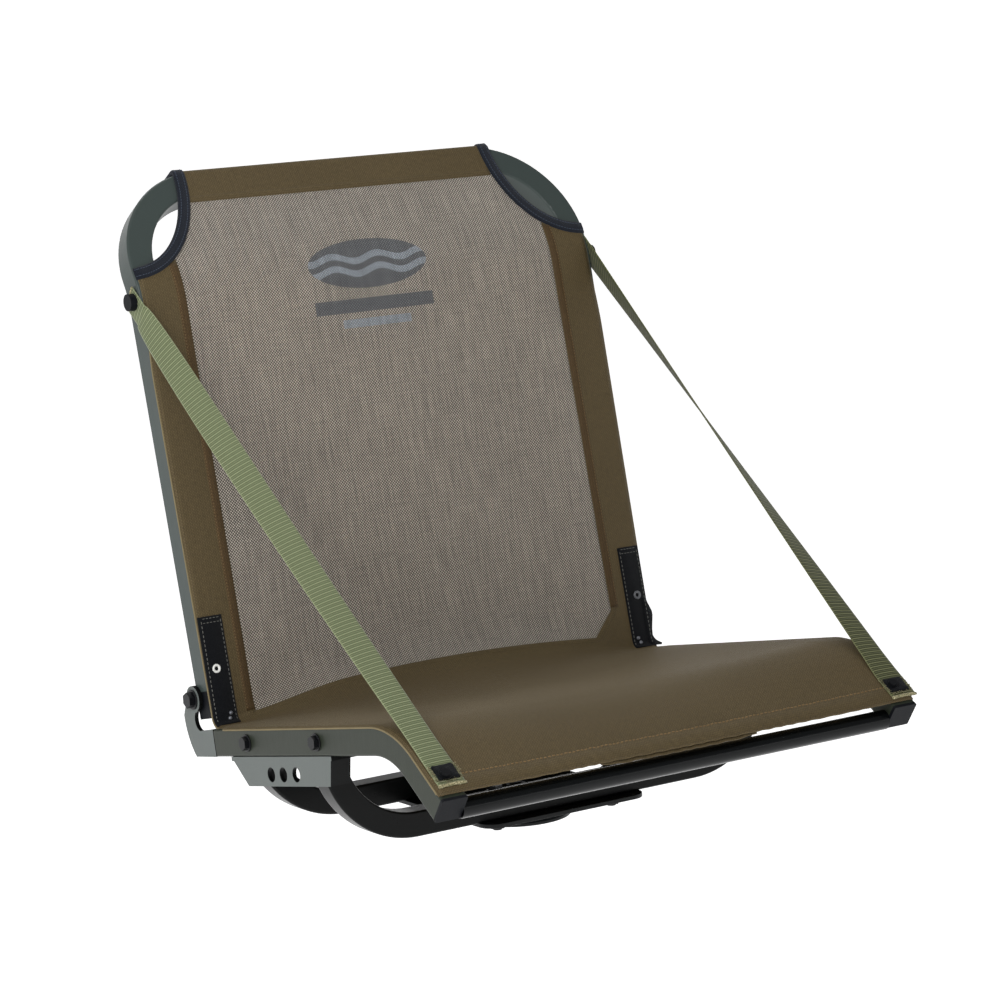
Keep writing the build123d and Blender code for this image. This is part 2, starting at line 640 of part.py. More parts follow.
def webbing_section(centre, run, normal):
    """Rectangle of webbing across a run, with its flat side facing along the normal."""
    flat = (normal - run * normal.dot(run)).normalized()
    across = run.cross(flat).normalized()
    wide, thick = across * (WEBBING / 2), flat * (WEBBING_THICK / 2)
    corners = [wide + thick, thick - wide, -wide - thick, wide - thick]
    return Wire.make_polygon([centre + corner for corner in corners], close=True)


def strap_top_fasteners():
    """Bolt, moulded cap and nut through the back tube at the top of each strap."""
    bolts, caps, nuts = [], [], []
    outer = STRAP_TOP_X + 1.0
    inner = BACK_TOP_HALF - TUBE - 0.6
    for side in SIDES.values():

        def along(radius, near, far):
            return rod(radius, strap_bolt_axis(side * near), strap_bolt_axis(side * far))

        bolts.append(along(STRAP_BOLT_R, outer + 2, inner - 8))
        caps.append(along(8.0, outer, outer + 6.5) - along(STRAP_BOLT_R, outer - 1, outer + 2))
        blank = hexagon(10.0, strap_bolt_axis(side * inner), strap_bolt_axis(side * (inner - 5)))
        nuts.append(blank - along(STRAP_BOLT_R, inner + 2, inner - 9))
    return bolts, caps, nuts


def strap_foot_fasteners():
    """Pad, washer and screw that hold each strap and the cloth to the rail."""
    pads, washers, screws = [], [], []
    low, high = TUBE / 2 + CLOTH + 2.2, TUBE / 2 + CLOTH + 4.2
    front, back = STRAP_SCREW_BACK - 9, STRAP_SCREW_BACK + 9
    for side in SIDES.values():
        x = side * STRAP_X

        def along(radius, near, far):
            ends = [(x, *along_front(STRAP_SCREW_BACK, up)) for up in (near, far)]
            return rod(radius, *ends)

        corners = [(front, low), (back, low), (back, high), (front, high)]
        pad = slab(x - 12, x + 12, [along_front(*corner) for corner in corners])
        pads.append(pad - along(STRAP_SCREW_R + 0.1, 0, 30))
        washers.append(along(5.5, high, high + 0.8) - along(STRAP_SCREW_R + 0.1, high, high + 0.8))
        screws.append(along(4.2, high + 0.8, high + 2.8) + along(STRAP_SCREW_R, 5.0, high + 1.0))
    return pads, washers, screws


# ---------------------------------------------------------------- write every node
save("swivel_base", swivel_base())
save("upper_race", upper_race())
save("ball_cage", ball_cage())
save("bearing_balls", [Pos(x, y, BALL_Z) * Sphere(BALL_R) for x, y in ball_places()])
save("swivel_plate", swivel_plate())
save("swivel_pivot_bolt", hexagon(18, (0, 0, 0.8), (0, 0, 6)) + rod(PIVOT_R, (0, 0, 5), (0, 0, 32)))
save("swivel_pivot_washer", ring(13, PIVOT_R + 0.05, (0, 0, 20.1), (0, 0, 22.1)))
save("swivel_pivot_nut", hexagon(18, (0, 0, 22.1), (0, 0, 30)) - rod(PIVOT_R, (0, 0, 20), (0, 0, 34)))

for name, group in zip(("swivel_bolts", "swivel_washers", "swivel_nuts"), swivel_fasteners()):
    save(name, group)
for name, y in HOOP_Y.items():
    save(f"{name}_hoop", hoop(y))
for name, side in SIDES.items():
    save(f"seat_rail_{name}", seat_rail(side))
    save(f"rail_end_cap_{name}", rail_end_cap(side))
    save(f"side_bracket_{name}", side_bracket(side))
    save(f"hinge_bracket_{name}", hinge_bracket(side))
    save(f"hinge_block_{name}", hinge_block(side))
save("front_bar", front_bar())
for name, group in zip(("rail_bolts", "rail_washers", "rail_nuts"), rail_fasteners()):
    save(name, group)
for name, group in zip(("hinge_bolts", "hinge_washers", "hinge_nuts"), hinge_fasteners()):
    save(name, group)

frame = save("back_frame", back_frame())
cloth = back_cloth()
panel_space = back_panel_space()
save("back_panel", cloth & panel_space)
save("back_border", cloth - panel_space)
for name, side in SIDES.items():
    save(f"corner_binding_{name}", corner_binding(side, cloth, frame))
    save(f"edge_patch_{name}", patch(side))
    save(f"strap_{name}", strap(side))
for name, group in zip(("patch_eyelets", "patch_rivets"), patch_trim()):
    save(name, group)
save("seat_sling", seat_sling())
save("sling_junction", sling_junction())
for name, group in zip(("strap_bolts", "strap_bolt_caps", "strap_bolt_nuts"), strap_top_fasteners()):
    save(name, group)
for name, group in zip(("strap_pads", "strap_screw_washers", "strap_screws"), strap_foot_fasteners()):
    save(name, group)
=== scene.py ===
import json
import math
import bpy
import numpy as np
from mathutils import Matrix, Vector


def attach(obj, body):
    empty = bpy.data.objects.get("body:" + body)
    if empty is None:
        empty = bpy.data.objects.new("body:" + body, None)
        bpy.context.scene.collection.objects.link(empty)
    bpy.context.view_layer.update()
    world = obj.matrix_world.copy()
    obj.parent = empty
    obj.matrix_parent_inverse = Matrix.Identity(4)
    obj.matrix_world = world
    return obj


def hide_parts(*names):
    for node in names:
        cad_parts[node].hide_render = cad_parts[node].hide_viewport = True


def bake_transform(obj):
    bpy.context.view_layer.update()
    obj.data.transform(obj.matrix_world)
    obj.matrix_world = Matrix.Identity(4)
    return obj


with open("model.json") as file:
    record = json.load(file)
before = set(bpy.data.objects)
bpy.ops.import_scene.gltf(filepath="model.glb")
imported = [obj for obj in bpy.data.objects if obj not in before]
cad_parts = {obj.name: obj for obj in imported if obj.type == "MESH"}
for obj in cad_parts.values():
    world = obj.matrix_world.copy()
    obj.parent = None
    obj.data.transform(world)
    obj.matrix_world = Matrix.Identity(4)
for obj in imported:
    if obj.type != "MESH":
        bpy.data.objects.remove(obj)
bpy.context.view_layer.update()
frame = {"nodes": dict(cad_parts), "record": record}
nodes = frame["nodes"]
MM = 0.001
SIDES = {"left": -1, "right": 1}

# ------------------------------------------------------------ dimensions shared with the CAD, in mm
TUBE = 25.4
RAIL_REAR, RAIL_KNEE, RAIL_FRONT = (112.0, 93.8), (-203.8, 143.8), (-274.4, 94.3)
RAIL_BEND = 80.0
BACK_LEAN, TOP_LEAN = math.radians(11.5), math.radians(31.5)
BACK_FOOT = (124.0, 129.5)
BEND_AT, BEND_R, BACK_HEIGHT = 371.0, 100.0, 506.0
FOOT_HALF, TOP_HALF, SEAT_HALF = 249.6, 253.0, 254.0
CUT_X, CUT_S, CUT_CENTRE_S = 76.0, 98.5, 507.0
CLOTH = 1.2
LIFT = 0.7                   # middle of the cloth over the tubes' faces
SLEEVE = 25.0
PANEL_HALF, PANEL_LOW, PANEL_TOP = 206.0, -7.0, 472.0
STRAP_HALF = 12.7


# ------------------------------------------------------------ the cloth's own surface
def unit(y, z):
    return np.array([y, z]) / math.hypot(y, z)


def cross_point(p, d, q, e):
    """Where two YZ lines meet."""
    reach = ((q[0] - p[0]) * e[1] - (q[1] - p[1]) * e[0]) / (d[0] * e[1] - d[1] * e[0])
    return np.array(p) + reach * np.array(d)


RAIL_DIR = unit(RAIL_KNEE[0] - RAIL_REAR[0], RAIL_KNEE[1] - RAIL_REAR[1])
RAIL_UP = np.array([RAIL_DIR[1], -RAIL_DIR[0]])
FRONT_DIR = unit(RAIL_FRONT[0] - RAIL_KNEE[0], RAIL_FRONT[1] - RAIL_KNEE[1])
FRONT_UP = np.array([FRONT_DIR[1], -FRONT_DIR[0]])
BACK_DIR = unit(math.sin(BACK_LEAN), math.cos(BACK_LEAN))
BACK_OUT = unit(-math.cos(BACK_LEAN), math.sin(BACK_LEAN))
TOP_DIR = unit(math.sin(TOP_LEAN), math.cos(TOP_LEAN))
TOP_OUT = unit(-math.cos(TOP_LEAN), math.sin(TOP_LEAN))
if RAIL_UP[1] < 0:
    RAIL_UP, FRONT_UP = -RAIL_UP, -FRONT_UP


def back_at(s, out=0.0):
    """YZ point at developed height s on the back's front face."""
    turn = TOP_LEAN - BACK_LEAN
    if s <= BEND_AT:
        return np.array(BACK_FOOT) + BACK_DIR * s + BACK_OUT * out
    if s < BEND_AT + BEND_R * turn:
        angle = BACK_LEAN + (s - BEND_AT) / BEND_R
        centre = np.array(BACK_FOOT) + BACK_DIR * BEND_AT - BACK_OUT * BEND_R
        return centre + unit(-math.cos(angle), math.sin(angle)) * (BEND_R + out)
    reach = BEND_R * math.tan(turn / 2)
    corner = np.array(BACK_FOOT) + BACK_DIR * (BEND_AT + reach)
    past = s - BEND_AT - BEND_R * turn + reach
    return corner + TOP_DIR * past + TOP_OUT * out


def run_of(line):
    """Length along a line of pairs, up to each of its points."""
    return np.concatenate([[0], np.cumsum(np.hypot(*np.diff(line, axis=0).T))])


def resampled(line, length, where):
    return np.stack([np.interp(where, length, line[:, 0]), np.interp(where, length, line[:, 1])], 1)


def rounded(points, radii):
    """A polyline through the points with its inner corners turned into arcs, sampled at every mm."""
    out = [np.array(points[0], float)]
    for i, radius in enumerate(radii):
        a, b, c = out[-1], np.array(points[i + 1], float), np.array(points[i + 2], float)
        u, v = unit(*(a - b)), unit(*(c - b))
        half = math.acos(max(-1.0, min(1.0, float(u @ v)))) / 2
        near = b + u * radius / math.tan(half)
        centre = b + unit(*(u + v)) * radius / math.sin(half)
        first = math.atan2(*(near - centre)[::-1])
        far = b + v * radius / math.tan(half)
        last = math.atan2(*(far - centre)[::-1])
        sweep = (last - first + math.pi) % (2 * math.pi) - math.pi
        for k in range(0, 25):
            angle = first + sweep * k / 24
            out.append(centre + radius * np.array([math.cos(angle), math.sin(angle)]))
    out.append(np.array(points[-1], float))
    line = np.array(out)
    length = run_of(line)
    return resampled(line, length, np.arange(0, length[-1]))


LEAD = 200                   # samples of straight run ahead of the front hem, for the smoothing
HEM_BACK = 6.5               # from the rails' ends to the front hem
front_end = np.array(RAIL_FRONT) - FRONT_DIR * HEM_BACK + FRONT_UP * (TUBE / 2 + LIFT)
rail_line = np.array(RAIL_REAR) + RAIL_UP * (TUBE / 2 + LIFT)
knee = cross_point(rail_line, RAIL_DIR, front_end, FRONT_DIR)
seam_corner = cross_point(rail_line, RAIL_DIR, back_at(0, LIFT), BACK_DIR)
turn = TOP_LEAN - BACK_LEAN
bend = cross_point(back_at(0, LIFT), BACK_DIR, back_at(500, LIFT), TOP_DIR)
BASE = rounded([
    front_end + FRONT_DIR * LEAD, knee, seam_corner, bend, back_at(BACK_HEIGHT + LIFT, LIFT),
    back_at(BACK_HEIGHT + LIFT, -TUBE - LIFT), back_at(BACK_HEIGHT - SLEEVE, -TUBE - LIFT)],
    [RAIL_BEND + TUBE / 2 + LIFT, 10.3, BEND_R + LIFT, 2.9, 2.9])
T_MAX = len(BASE) - 1 - LEAD
T_BACK = int(np.argmin(np.hypot(*(BASE - back_at(200, LIFT)).T))) - LEAD - 200      # t of s = 0
T_CORNER = int(np.argmin(np.hypot(*(BASE - seam_corner).T))) - LEAD
T_KNEE = int(np.argmin(np.hypot(*(BASE - knee).T))) - LEAD

SIGMA_STEP = 2.0
SIGMAS = np.arange(0, 60, SIGMA_STEP)


def smoothed(sigma):
    if sigma == 0:
        return BASE
    reach = int(4 * sigma)
    kernel = np.exp(-0.5 * (np.arange(-reach, reach + 1) / sigma) ** 2)
    kernel /= kernel.sum()
    padded = np.pad(BASE, ((reach, reach), (0, 0)), mode="edge")
    padded[:reach] = BASE[0] + (BASE[0] - BASE[1]) * np.arange(reach, 0, -1)[:, None]
    padded[-reach:] = BASE[-1] + (BASE[-1] - BASE[-2]) * np.arange(1, reach + 1)[:, None]
    return np.stack([np.convolve(padded[:, k], kernel, "valid") for k in (0, 1)], 1)


LAYERS = np.stack([smoothed(s) for s in SIGMAS])


def ramp(value, low, high):
    t = np.clip((value - low) / (high - low), 0, 1)
    return t * t * (3 - 2 * t)


def half_width(t):
    """Half the cloth's width: the rails', then inside the hinge brackets, then the back tubes'."""
    s = t - T_BACK
    back = FOOT_HALF - 0.1 + (TOP_HALF - FOOT_HALF) * np.clip(s / BEND_AT, 0, 1) - 3.2 * ramp(s, 300, 375)
    return SEAT_HALF + 0.2 + (back - SEAT_HALF - 0.2) * ramp(t, T_CORNER - 26, T_CORNER - 10)


def surface(x, t):
    """Points of the taut cloth's middle, in mm: x across, t up from the front hem."""
    x, t = np.broadcast_arrays(np.asarray(x, float), np.asarray(t, float))
    s = t - T_BACK
    inner = np.where(t < T_CORNER, 228.0, 224.0 + 3.4 * np.clip(s / BEND_AT, 0, 1))
    across = np.clip(1 - (x / inner) ** 2, 0, 1)
    most = 24 + 21 * ramp(t, T_KNEE + 60, T_KNEE + 200)
    most = most * (1 - ramp(s, 440, 478)) * (1 - 0.75 * ramp(s, 60, 330))
    most = most * (0.55 + 0.45 * ramp(t, 0, 60))
    sigma = np.clip(most * across ** 0.85, 0, SIGMAS[-1] - 0.01) / SIGMA_STEP
    layer = sigma.astype(int)
    part = (sigma - layer)[..., None]
    place = np.clip(t + LEAD, 0, len(BASE) - 1.001)
    cell = place.astype(int)
    share = (place - cell)[..., None]

    def look(k):
        return LAYERS[k, cell] * (1 - share) + LAYERS[k, cell + 1] * share

    yz = look(layer) * (1 - part) + look(layer + 1) * part
    sag = 7.5 * ramp(t, -40, 110) * (1 - ramp(t, T_CORNER - 130, T_CORNER + 10))
    sag = sag + 3.0 * ramp(s, 20, 160) * (1 - ramp(s, 330, 470))
    bow = sag * across
    unevenness = 0.5 * np.sin(x / 41.0 + t / 63.0) * np.sin(t / 47.0 - x / 90.0)
    bow = bow + unevenness * across * (1 - ramp(s, 430, 470))
    pucker = 0.45 * np.sin(x / 2.6 + 2 * np.sin(x / 17.0))
    bow = bow + pucker * across ** 0.5 * (1 - ramp(t, 12, 36))
    ahead = LAYERS[0, np.clip(cell + 2, 0, len(BASE) - 1)] - LAYERS[0, np.clip(cell - 2, 0, len(BASE) - 1)]
    ahead = ahead / np.maximum(np.hypot(ahead[..., 0], ahead[..., 1]), 1e-9)[..., None]
    outward = np.stack([-ahead[..., 1], ahead[..., 0]], -1)
    curl = 1.3 * ramp(np.abs(x), half_width(t) - 3.0, half_width(t)) * (1 - ramp(s, 470, 480))
    yz = yz - outward * (bow + curl)[..., None]
    return np.concatenate([x[..., None], yz], -1)


def normal(x, t):
    """Outward unit normals, towards the sitter."""
    x, t = np.broadcast_arrays(np.asarray(x, float), np.asarray(t, float))
    dx = surface(x + 1.0, t) - surface(x - 1.0, t)
    dt = surface(x, t + 1.5) - surface(x, t - 1.5)
    n = np.cross(dx, dt)
    return n / np.linalg.norm(n, axis=-1, keepdims=True)


def over(x, t, height):
    """Points that stand off the cloth's middle by height."""
    return surface(x, t) + normal(x, t) * np.asarray(height)[..., None]


# ------------------------------------------------------------ mesh building
def make_mesh(name, points, faces, uv, material):
    """A smooth mesh object from points in mm. uv gives one pair per point, in mm."""
    mesh = bpy.data.meshes.new(name)
    mesh.from_pydata((np.asarray(points, float) * MM).tolist(), [], [list(map(int, f)) for f in faces])
    mesh.update()
    layer = mesh.uv_layers.new(name="weave")
    index = np.zeros(len(mesh.loops), np.int32)
    mesh.loops.foreach_get("vertex_index", index)
    layer.data.foreach_set("uv", (np.asarray(uv, float) * MM)[index].astype(np.float32).ravel())
    mesh.polygons.foreach_set("use_smooth", [True] * len(mesh.polygons))
    obj = bpy.data.objects.new(name, mesh)
    bpy.context.scene.collection.objects.link(obj)
    mesh.materials.append(material)
    return obj


def grid_faces(rows, columns, wrap=False):
    """Quads of a rows by columns grid of points."""
    r = np.arange(rows - 1)[:, None]
    c = np.arange(columns if wrap else columns - 1)[None, :]
    nxt = (c + 1) % columns
    quads = np.stack([r * columns + c, r * columns + nxt, (r + 1) * columns + nxt, (r + 1) * columns + c], -1)
    return quads.reshape(-1, 4)


def tube_faces(rows, columns):
    """Faces of a tube of rows rings, closed at both ends."""
    last = (rows - 1) * columns
    ends = [list(range(columns))[::-1], list(range(last, last + columns))]
    return grid_faces(rows, columns, wrap=True).tolist() + ends


class Pile:
    """Collects many small shapes into one mesh."""

    def __init__(self):
        self.points, self.faces, self.uv, self.count = [], [], [], 0

    def add(self, points, faces, uv=None):
        points = np.asarray(points, float).reshape(-1, 3)
        self.points.append(points)
        self.faces += [[int(i) + self.count for i in f] for f in faces]
        self.uv.append(np.asarray(uv, float) if uv is not None else points[:, :2])
        self.count += len(points)

    def done(self, name, material):
        return make_mesh(name, np.concatenate(self.points), self.faces, np.concatenate(self.uv), material)


def ribbon(pile, path, section):
    """A section swept over the cloth. path is (x, t) pairs, and section a loop of (sideways, height) pairs."""
    path = np.asarray(path, float)
    step = np.gradient(path, axis=0)
    step /= np.linalg.norm(step, axis=1, keepdims=True)
    side = np.stack([step[:, 1], -step[:, 0]], 1)
    section = np.asarray(section, float)
    x = path[:, None, 0] + side[:, None, 0] * section[None, :, 0]
    t = path[:, None, 1] + side[:, None, 1] * section[None, :, 0]
    points = over(x, t, np.broadcast_to(section[None, :, 1], x.shape))
    uv = np.stack(np.broadcast_arrays(run_of(section)[None, :], run_of(path)[:, None]), -1)
    pile.add(points, tube_faces(*x.shape), uv.reshape(-1, 2))


def path_at(x, t):
    """(x, t) pairs. Either may be one number."""
    return np.stack(np.broadcast_arrays(np.asarray(x, float), np.asarray(t, float)), 1)


def pillow(width, low, high, round_by=0.5):
    """A flat section with soft edges: sideways from -width/2 to width/2, between two heights."""
    half, r = width / 2, round_by
    left = [(-half, low), (-half, high - r), (-half + r, high)]
    return left + [(-d, h) for d, h in left[::-1]]


def round_section(radius, height):
    """A round section at a height over the cloth."""
    angles = np.arange(8) * math.pi / 4
    return [(radius * math.cos(a), height + radius * math.sin(a)) for a in angles]


def stitches(pile, path, height, pitch=3.3, length=2.4, radius=0.32):
    """A row of separate stitches along a path over the cloth."""
    path = np.asarray(path, float)
    run = run_of(path)
    centres = np.arange(pitch / 2, run[-1], pitch)
    ring = np.array([0, 60, 120, 180, 240, 300]) * math.pi / 180
    along = np.array([-0.5, -0.38, 0.38, 0.5])
    swell = np.array([0.35, 1.0, 1.0, 0.35])
    for centre in centres:
        where = centre + along * length
        x, t = np.interp(where, run, path[:, 0]), np.interp(where, run, path[:, 1])
        line = over(x, t, np.full(4, height) - np.array([0.25, 0, 0, 0.25]))
        up = normal(x, t)
        ahead = line[-1] - line[0]
        ahead /= np.linalg.norm(ahead) + 1e-9
        side = np.cross(ahead, up)
        turn_by = [math.cos(a) * side + math.sin(a) * up for a in ring]
        points = [line[i] + radius * swell[i] * spoke[i] for i in range(4) for spoke in turn_by]
        pile.add(points, tube_faces(4, 6))


# ------------------------------------------------------------ materials
class Shade:
    """Short hand for building one material."""

    def __init__(self, name, **settings):
        self.material = bpy.data.materials.new(name)
        self.material.use_nodes = True
        self.tree = self.material.node_tree
        self.shader = self.tree.nodes["Principled BSDF"]
        for key, value in settings.items():
            self.shader.inputs[key.replace("_", " ")].default_value = value

    def put(self, socket, value):
        if hasattr(value, "links"):
            self.tree.links.new(value, socket)
        else:
            socket.default_value = value

    def maths(self, operation, a, b=0.0, c=0.0):
        node = self.tree.nodes.new("ShaderNodeMath")
        node.operation = operation
        for socket, value in zip(node.inputs, (a, b, c)):
            self.put(socket, value)
        return node.outputs[0]

    def times(self, a, b):
        return self.maths("MULTIPLY", a, b)

    def plus(self, a, b):
        return self.maths("ADD", a, b)

    def scaled(self, a, factor, shift):
        return self.maths("MULTIPLY_ADD", a, factor, shift)

    def hump(self, a):
        """0 at every whole number, 1 halfway between them."""
        return self.maths("SINE", self.times(self.maths("FRACT", a), math.pi))

    def varied(self, level, share, amount):
        """level, up to half of amount higher or lower."""
        return self.plus(level, self.scaled(share, amount, -amount / 2))

    def uv(self):
        node = self.tree.nodes.new("ShaderNodeUVMap")
        node.uv_map = "weave"
        split = self.tree.nodes.new("ShaderNodeSeparateXYZ")
        self.tree.links.new(node.outputs[0], split.inputs[0])
        return split.outputs[0], split.outputs[1], node.outputs[0]

    def place(self):
        return self.tree.nodes.new("ShaderNodeTexCoord").outputs["Object"]

    def sideways(self):
        """1 on faces that face left or right, 0 on the others."""
        split = self.tree.nodes.new("ShaderNodeSeparateXYZ")
        facing = self.tree.nodes.new("ShaderNodeTexCoord").outputs["Normal"]
        self.tree.links.new(facing, split.inputs[0])
        return self.maths("ABSOLUTE", split.outputs[0])

    def noise(self, vector, scale, detail=2.0, roughness=0.5):
        node = self.tree.nodes.new("ShaderNodeTexNoise")
        self.tree.links.new(vector, node.inputs["Vector"])
        node.inputs["Scale"].default_value = scale
        node.inputs["Detail"].default_value = detail
        node.inputs["Roughness"].default_value = roughness
        return node.outputs["Fac"]

    def stretched(self, vector, scale):
        node = self.tree.nodes.new("ShaderNodeMapping")
        self.tree.links.new(vector, node.inputs["Vector"])
        node.inputs["Scale"].default_value = scale
        return node.outputs[0]

    def fibres(self, vector, across, along, detail=2.0, roughness=0.5):
        """Noise with its own scale across the cloth and along it."""
        return self.noise(self.stretched(vector, (across, along, 1.0)), 1.0, detail, roughness)

    def tint(self, socket, value):
        self.put(socket, value if hasattr(value, "links") else (*value, 1.0))

    def mix(self, share, a, b):
        node = self.tree.nodes.new("ShaderNodeMix")
        node.data_type = "RGBA"
        self.put(node.inputs[0], share)
        self.tint(node.inputs[6], a)
        self.tint(node.inputs[7], b)
        return node.outputs[2]

    def dim(self, colour, factor):
        node = self.tree.nodes.new("ShaderNodeMix")
        node.data_type, node.blend_type = "RGBA", "MULTIPLY"
        node.inputs[0].default_value = 1.0
        self.tint(node.inputs[6], colour)
        grey = self.tree.nodes.new("ShaderNodeCombineColor")
        for socket in grey.inputs:
            self.put(socket, factor)
        self.tree.links.new(grey.outputs[0], node.inputs[7])
        return node.outputs[2]

    def colour(self, value):
        self.tint(self.shader.inputs["Base Color"], value)

    def rough(self, value):
        self.put(self.shader.inputs["Roughness"], value)

    def bump(self, height, distance, strength):
        node = self.tree.nodes.new("ShaderNodeBump")
        node.inputs["Distance"].default_value = distance
        node.inputs["Strength"].default_value = strength
        self.tree.links.new(height, node.inputs["Height"])
        previous = self.shader.inputs["Normal"]
        if previous.is_linked:
            self.tree.links.new(previous.links[0].from_socket, node.inputs["Normal"])
        self.tree.links.new(node.outputs[0], previous)

    def weave(self, u, v, pitch_u, pitch_v):
        """(1 where a warp thread is on top, height of the threads) of a plain weave."""
        a, b = self.maths("DIVIDE", u, pitch_u), self.maths("DIVIDE", v, pitch_v)
        total = self.plus(self.maths("FLOOR", a), self.maths("FLOOR", b))
        check = self.maths("FLOORED_MODULO", total, 2.0)
        hump_a = self.hump(a)
        hump_b = self.hump(b)
        warp = self.times(hump_a, self.maths("POWER", hump_b, 0.4))
        weft = self.times(hump_b, self.maths("POWER", hump_a, 0.4))
        height = self.plus(self.times(check, warp), self.times(self.maths("SUBTRACT", 1.0, check), weft))
        return check, height


def linear(r, g, b):
    """An sRGB colour, 0 to 255, as linear light."""
    return tuple(((c / 255 + 0.055) / 1.055) ** 2.4 if c > 10 else c / 255 / 12.92 for c in (r, g, b))


def metal_paint(name, colour, roughness=0.42, coat=0.2, shine=0.4, speckle=0.06, painted_shade_colour=None):
    """Powder coat with fine orange peel. The last argument, when given, is a darker colour painted on the faces
    that don't face left or right: a painted shade on the lips and edges.
    """
    shade = Shade(name, Coat_Weight=coat, Coat_Roughness=0.18, Specular_IOR_Level=shine)
    place = shade.place()
    peel = shade.noise(place, 900.0, 2.0)
    cloud = shade.noise(place, 14.0, 4.0, 0.6)
    # painted shade: the faces that don't face left or right take the darker colour
    if painted_shade_colour is not None:
        colour = shade.mix(shade.sideways(), painted_shade_colour, colour)
    shade.colour(shade.dim(colour, shade.scaled(cloud, speckle * 2, 1 - speckle)))
    scuff = shade.noise(shade.stretched(place, (1.0, 6.0, 1.0)), 60.0, 5.0, 0.7)
    shade.rough(shade.scaled(scuff, 0.16, roughness - 0.08))
    shade.bump(peel, 0.00012, 0.5)
    return shade.material


def plain(name, colour, roughness, metallic=0.0, shine=0.3):
    """Thread, plastic or bare metal with a fine grain."""
    shade = Shade(name, Metallic=metallic, Specular_IOR_Level=shine)
    place = shade.place()
    fine = shade.noise(place, 700.0, 3.0)
    broad = shade.noise(place, 40.0, 3.0)
    shade.colour(shade.dim(colour, shade.scaled(broad, 0.3, 0.85)))
    shade.rough(shade.scaled(fine, 0.14, roughness - 0.07))
    shade.bump(fine, 0.00006, 0.6)
    return shade.material


def sling_cloth_material(name, low, high):
    """Coated brown cloth: fine plain weave with a faint rib along its length."""
    shade = Shade(name, Sheen_Weight=0.16, Sheen_Roughness=0.35, Sheen_Tint=(0.6, 0.52, 0.38, 1.0),
                  Specular_IOR_Level=0.18)
    u, v, vector = shade.uv()
    check, height = shade.weave(u, v, 0.0014, 0.0014)
    rib = shade.maths("SINE", shade.times(u, 2 * math.pi / 0.0024))
    slub = shade.fibres(vector, 700.0, 60.0)
    fleck = shade.fibres(vector, 330.0, 260.0, 3.0, 0.7)
    cloud = shade.fibres(vector, 6.0, 6.0, 4.0, 0.6)
    tone = shade.mix(shade.scaled(check, 0.5, shade.times(slub, 0.5)), low, high)
    level = shade.scaled(height, 0.6, 0.54)
    level = shade.plus(level, shade.times(rib, 0.09))
    level = shade.varied(level, cloud, 0.3)
    level = shade.varied(level, fleck, 0.7)
    shade.colour(shade.dim(tone, level))
    shade.rough(shade.scaled(slub, 0.2, 0.5))
    shade.bump(height, 0.00025, 0.7)
    shade.bump(cloud, 0.002, 0.25)
    return shade.material


def mesh_material():
    """Open woven mesh, light warp over dark weft, with a plain two-tone badge printed on it."""
    shade = Shade("mesh_taupe", Sheen_Weight=0.15, Sheen_Roughness=0.5, Specular_IOR_Level=0.35)
    u, v, vector = shade.uv()
    check, height = shade.weave(u, v, 0.0015, 0.0015)
    slub = shade.fibres(vector, 800.0, 800.0)
    cloud = shade.fibres(vector, 9.0, 7.0, 4.0, 0.6)
    light = shade.mix(slub, linear(176, 166, 152), linear(206, 198, 186))
    dark = shade.mix(slub, linear(52, 45, 36), linear(84, 75, 63))
    threads = shade.mix(check, dark, light)
    # a badge of an oval with two waves, and two plain bars below it
    x = shade.times(shade.plus(u, 0.003), 1000.0)
    s = shade.times(v, 1000.0)

    def inside(a, centre, half):
        return shade.maths("LESS_THAN", shade.maths("ABSOLUTE", shade.maths("SUBTRACT", a, centre)), half)

    ex = shade.maths("DIVIDE", x, 66.0)
    es = shade.maths("DIVIDE", shade.maths("SUBTRACT", s, 391.0), 25.0)
    oval = shade.maths("LESS_THAN", shade.plus(shade.times(ex, ex), shade.times(es, es)), 1.0)
    swell = shade.times(shade.maths("SINE", shade.times(x, 0.125)), 3.2)
    along = shade.maths("SUBTRACT", s, swell)
    waves = shade.times(shade.maths("MAXIMUM", inside(along, 397.0, 3.4), inside(along, 384.0, 3.4)), oval)
    bar = shade.times(inside(x, 0.0, 66.0), inside(s, 350.0, 6.5))
    low_bar = shade.times(inside(x, 0.0, 38.0), inside(s, 333.0, 4.0))
    dark_print = shade.maths("MAXIMUM", shade.maths("SUBTRACT", oval, waves), bar)
    light_print = shade.maths("MAXIMUM", waves, low_bar)
    ink = shade.mix(0.7, shade.mix(0.5, threads, linear(56, 66, 78)), linear(58, 68, 80))
    pale = shade.mix(0.62, threads, linear(136, 154, 172))
    threads = shade.mix(shade.times(dark_print, 0.88), threads, ink)
    threads = shade.mix(shade.times(light_print, 0.9), threads, pale)
    level = shade.scaled(height, 0.5, 0.44)
    level = shade.varied(level, cloud, 0.2)
    streak = shade.fibres(vector, 420.0, 26.0)
    cross = shade.fibres(vector, 40.0, 500.0)
    level = shade.varied(level, streak, 0.7)
    level = shade.varied(level, cross, 0.4)
    shade.colour(shade.dim(threads, level))
    shade.rough(0.62)
    shade.bump(height, 0.0005, 0.8)
    return shade.material


def tape_material(name, low, high, pitch=0.0011, sheen=0.2):
    """Woven tape with a diagonal texture."""
    shade = Shade(name, Sheen_Weight=sheen, Sheen_Roughness=0.4, Specular_IOR_Level=0.18)
    u, v, vector = shade.uv()
    check, height = shade.weave(u, v, pitch, pitch)
    fuzz = shade.fibres(vector, 500.0, 500.0, 3.0)
    tone = shade.mix(shade.scaled(check, 0.5, shade.times(fuzz, 0.5)), low, high)
    shade.colour(shade.dim(tone, shade.scaled(height, 0.5, 0.6)))
    shade.rough(shade.scaled(fuzz, 0.2, 0.65))
    shade.bump(height, 0.0004, 0.8)
    return shade.material


